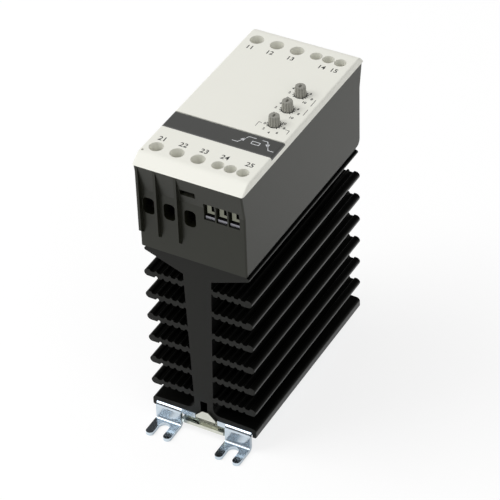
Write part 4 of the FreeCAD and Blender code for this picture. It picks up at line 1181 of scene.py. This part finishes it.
grow_ticks(tick_tree)
for k, (x, y) in enumerate(knob_places, 1):
    ticks = grow(
        f"dial_ticks_{k}",
        tick_tree,
        {
            "Count": 13,
            "Sweep": DIAL_SWEEP,
            "Inner Radius": 2.1 * MM,
            "Tick Length": 0.9 * MM,
            "Tick Width": 0.4 * MM,
            "Tick Height": INK_HEIGHT * MM,
            "Middle": Vector((x, y, INK_MIDDLE)) * MM,
            "Finish": dark_ink,
        },
    )
    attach(ticks, "module")
rings = [arc(x, y, RING_RADIUS, 0, 360, 72) for x, y in knob_places]
print_strokes("dial_rings", rings, RING_STROKE, dark_ink)

# %% [markdown]
# ### Numbers
#
# Plain numbers count the terminals, from the left, and the steps of each scale. Text
# is the simplest way to draw them. It is made a mesh before it takes its place.

# %% Numbers
TEXT_SCALE = 1.37      # font size of a number that is one millimetre high
TEXT_CURVE_STEPS = 3
PRINT_WEIGHT = 0.05    # how much a stroke grows on each side


def print_number(name, text, x, y, size):
    """Text of a given height in millimetres, made a mesh on the cover."""
    words = bpy.data.curves.new(name, "FONT")
    words.body = text
    words.size = size * TEXT_SCALE * MM
    words.align_x = "CENTER"
    words.align_y = "CENTER"
    words.extrude = INK_HEIGHT / 2 * MM
    words.offset = PRINT_WEIGHT * MM
    words.resolution_u = TEXT_CURVE_STEPS
    holder = placed(name + "_text", words)
    mesh = final_mesh(holder)
    bpy.data.objects.remove(holder)
    mesh.transform(Matrix.Translation(Vector((x, y, INK_MIDDLE)) * MM))
    mesh.materials.clear()
    mesh.materials.append(dark_ink)
    piece = placed(name, mesh)
    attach(piece, "module")


NEAR_ROW = -32.7
NEAR_SIZE = 2.45
NEAR_LABELS = {"21": -17.8, "22": -9.2, "23": -0.7, "24": 7.6, "25": 17.6}
FAR_ROW = 32.1
FAR_SIZE = 2.3
FAR_LABELS = {"11": -17.6, "12": -9.2, "13": -0.5, "14": 12.5, "15": 17.6}
for label, x in NEAR_LABELS.items():
    print_number(f"near_number_{label}", label, x, NEAR_ROW, NEAR_SIZE)
for label, x in FAR_LABELS.items():
    print_number(f"far_number_{label}", label, x, FAR_ROW, FAR_SIZE)

DIAL_NUMBER_SIZE = 1.25
DIAL_1 = [(10.4, -8.2), (11.5, -11.2), (14.25, -12.6)]
DIAL_1 += [(17.1, -11.5), (18.1, -8.0), (16.7, -5.3)]
DIAL_2 = [(10.2, -1.2), (9.3, 2.3), (9.7, 5.3)]
DIAL_2 += [(17.2, 4.75), (18.6, 2.05), (17.3, -1.1)]
DIAL_3 = [(10.3, 9.3), (9.5, 12.7), (9.5, 15.6)]
DIAL_3 += [(16.9, 15.2), (18.7, 12.3), (17.15, 9.3)]
for k, spots in enumerate((DIAL_1, DIAL_2, DIAL_3), 1):
    for n, (x, y) in enumerate(spots):
        print_number(f"dial_{k}_number_{2 * n}", str(2 * n), x, y, DIAL_NUMBER_SIZE)

# %% [markdown]
# ### Guide lines
#
# Fine bent lines start beside the dials and run along the edge of the cover. They are
# ribbons again, thinner than those on the stripe.

# %% Guide lines
GUIDE_STROKE = 0.22
GUIDE_LINES = [
    [(9.3, -8.4), (8.04, -8.2), (8.04, -11.0)],
    [(18.8, -8.46), (20.5, -8.47), (20.6, -10.8)],
    [(20.5, 2.0), (20.5, 5.9)],
    [(20.35, 8.3), (20.35, 12.5)],
]
print_strokes("guide_lines", GUIDE_LINES, GUIDE_STROKE, dark_ink)

# %% [markdown]
# ## The floor
#
# The photograph stands on a plain white table. The floor is nearly white to the
# camera and keeps a faint soft shadow. In reflections it is a little brighter than
# the lamps alone would make it, as a lit table is.

# %% Floor
FLOOR_HALF = 3
FLOOR_GLOW = 0.22       # added where the floor is mirrored
FLOOR_SHADOW = 0.25     # how much of the shadow the camera sees
FLOOR_PAPER = 0.78


def studio_floor():
    shape = bmesh.new()
    for x, y in ((-1, -1), (1, -1), (1, 1), (-1, 1)):
        shape.verts.new((x * FLOOR_HALF, y * FLOOR_HALF, 0))
    shape.verts.ensure_lookup_table()
    shape.faces.new(shape.verts)
    mesh = bpy.data.meshes.new("floor")
    shape.to_mesh(mesh)
    shape.free()
    return placed("floor", mesh)


def mirrored_rays(path):
    """One for the rays that a polished or clear face sends on, else zero."""
    return (path.out("Is Glossy Ray") + path.out("Is Transmission Ray")).clamped()


def floor_finish():
    """White under the lamps, whiter in reflections, and nearly white to the camera."""
    recipe = Recipe("floor_white")
    path = recipe.add("ShaderNodeLightPath")
    matt = recipe.add("ShaderNodeBsdfDiffuse", {"Color": shade(0.86, 0.86, 0.85)})
    glow = recipe.add("ShaderNodeEmission", {"Color": WHITE, "Strength": FLOOR_GLOW})
    bright = recipe.add("ShaderNodeAddShader", {0: matt, 1: glow})
    grey = shade(FLOOR_SHADOW, FLOOR_SHADOW, FLOOR_SHADOW)
    faint = recipe.add("ShaderNodeBsdfDiffuse", {"Color": grey})
    paper = recipe.add("ShaderNodeEmission", {"Color": WHITE, "Strength": FLOOR_PAPER})
    pictured = recipe.add("ShaderNodeAddShader", {0: faint, 1: paper})
    mirrored = mirrored_rays(path)
    lit = recipe.add("ShaderNodeMixShader", {0: mirrored, 1: matt, 2: bright})
    seen = path.out("Is Camera Ray")
    mixed = recipe.add("ShaderNodeMixShader", {0: seen, 1: lit, 2: pictured})
    recipe.add("ShaderNodeOutputMaterial", {"Surface": mixed})
    return recipe.material


floor = studio_floor()
floor.data.materials.append(floor_finish())
print("floor from", -FLOOR_HALF, "to", FLOOR_HALF, "m")

# %% [markdown]
# ## The room and its lamps
#
# The black plastic and the metal show mostly what they mirror. In the photograph that
# is the white table and a bright band of wall just above it, with a dark room higher
# up, so the sky that reflections see falls off with height. Two large soft lamps and a
# dimmer sky light the object at a plain level.

# %% Room and lamps
SKY_FOR_OBJECT = 0.5
SKY_SEEN = 1.0
SKY_MIRRORED_HIGH = 0.06    # what polished faces mirror well above the horizon
BAND_TOP = 0.14             # how high the bright band reaches before it fades
BAND_FADE = 0.2

world = bpy.data.worlds.new("room")
bpy.context.scene.world = world
world.use_nodes = True
room = Graph(world.node_tree)
room.tree.nodes.clear()
path = room.add("ShaderNodeLightPath")
mirrored = mirrored_rays(path)
direction = room.add("ShaderNodeTexCoord", output="Generated")
_, _, height = room.parts(direction)
high = ((height - BAND_TOP) / BAND_FADE).clamped()
mirrored_sky = (1 - high) * (SKY_SEEN - SKY_MIRRORED_HIGH) + SKY_MIRRORED_HIGH
strength = mirrored * (mirrored_sky - SKY_FOR_OBJECT) + SKY_FOR_OBJECT
strength = path.out("Is Camera Ray") * (SKY_SEEN - SKY_FOR_OBJECT) + strength
sky = room.add("ShaderNodeBackground", {"Color": WHITE, "Strength": strength})
room.add("ShaderNodeOutputWorld", {"Surface": sky})


def soft_lamp(name, azimuth, elevation, distance, size, power):
    """A square soft box that faces the module."""
    data = bpy.data.lights.new(name, "AREA")
    data.size = size
    data.energy = power
    lamp = placed(name, data)
    lamp.matrix_world = look_from(
        math.radians(azimuth), math.radians(elevation), 0.0, distance, CAMERA_TARGET
    )


soft_lamp("key_lamp", azimuth=-62, elevation=52, distance=1.6, size=1.1, power=14.2)
soft_lamp("fill_lamp", azimuth=60, elevation=35, distance=1.8, size=1.2, power=3.6)
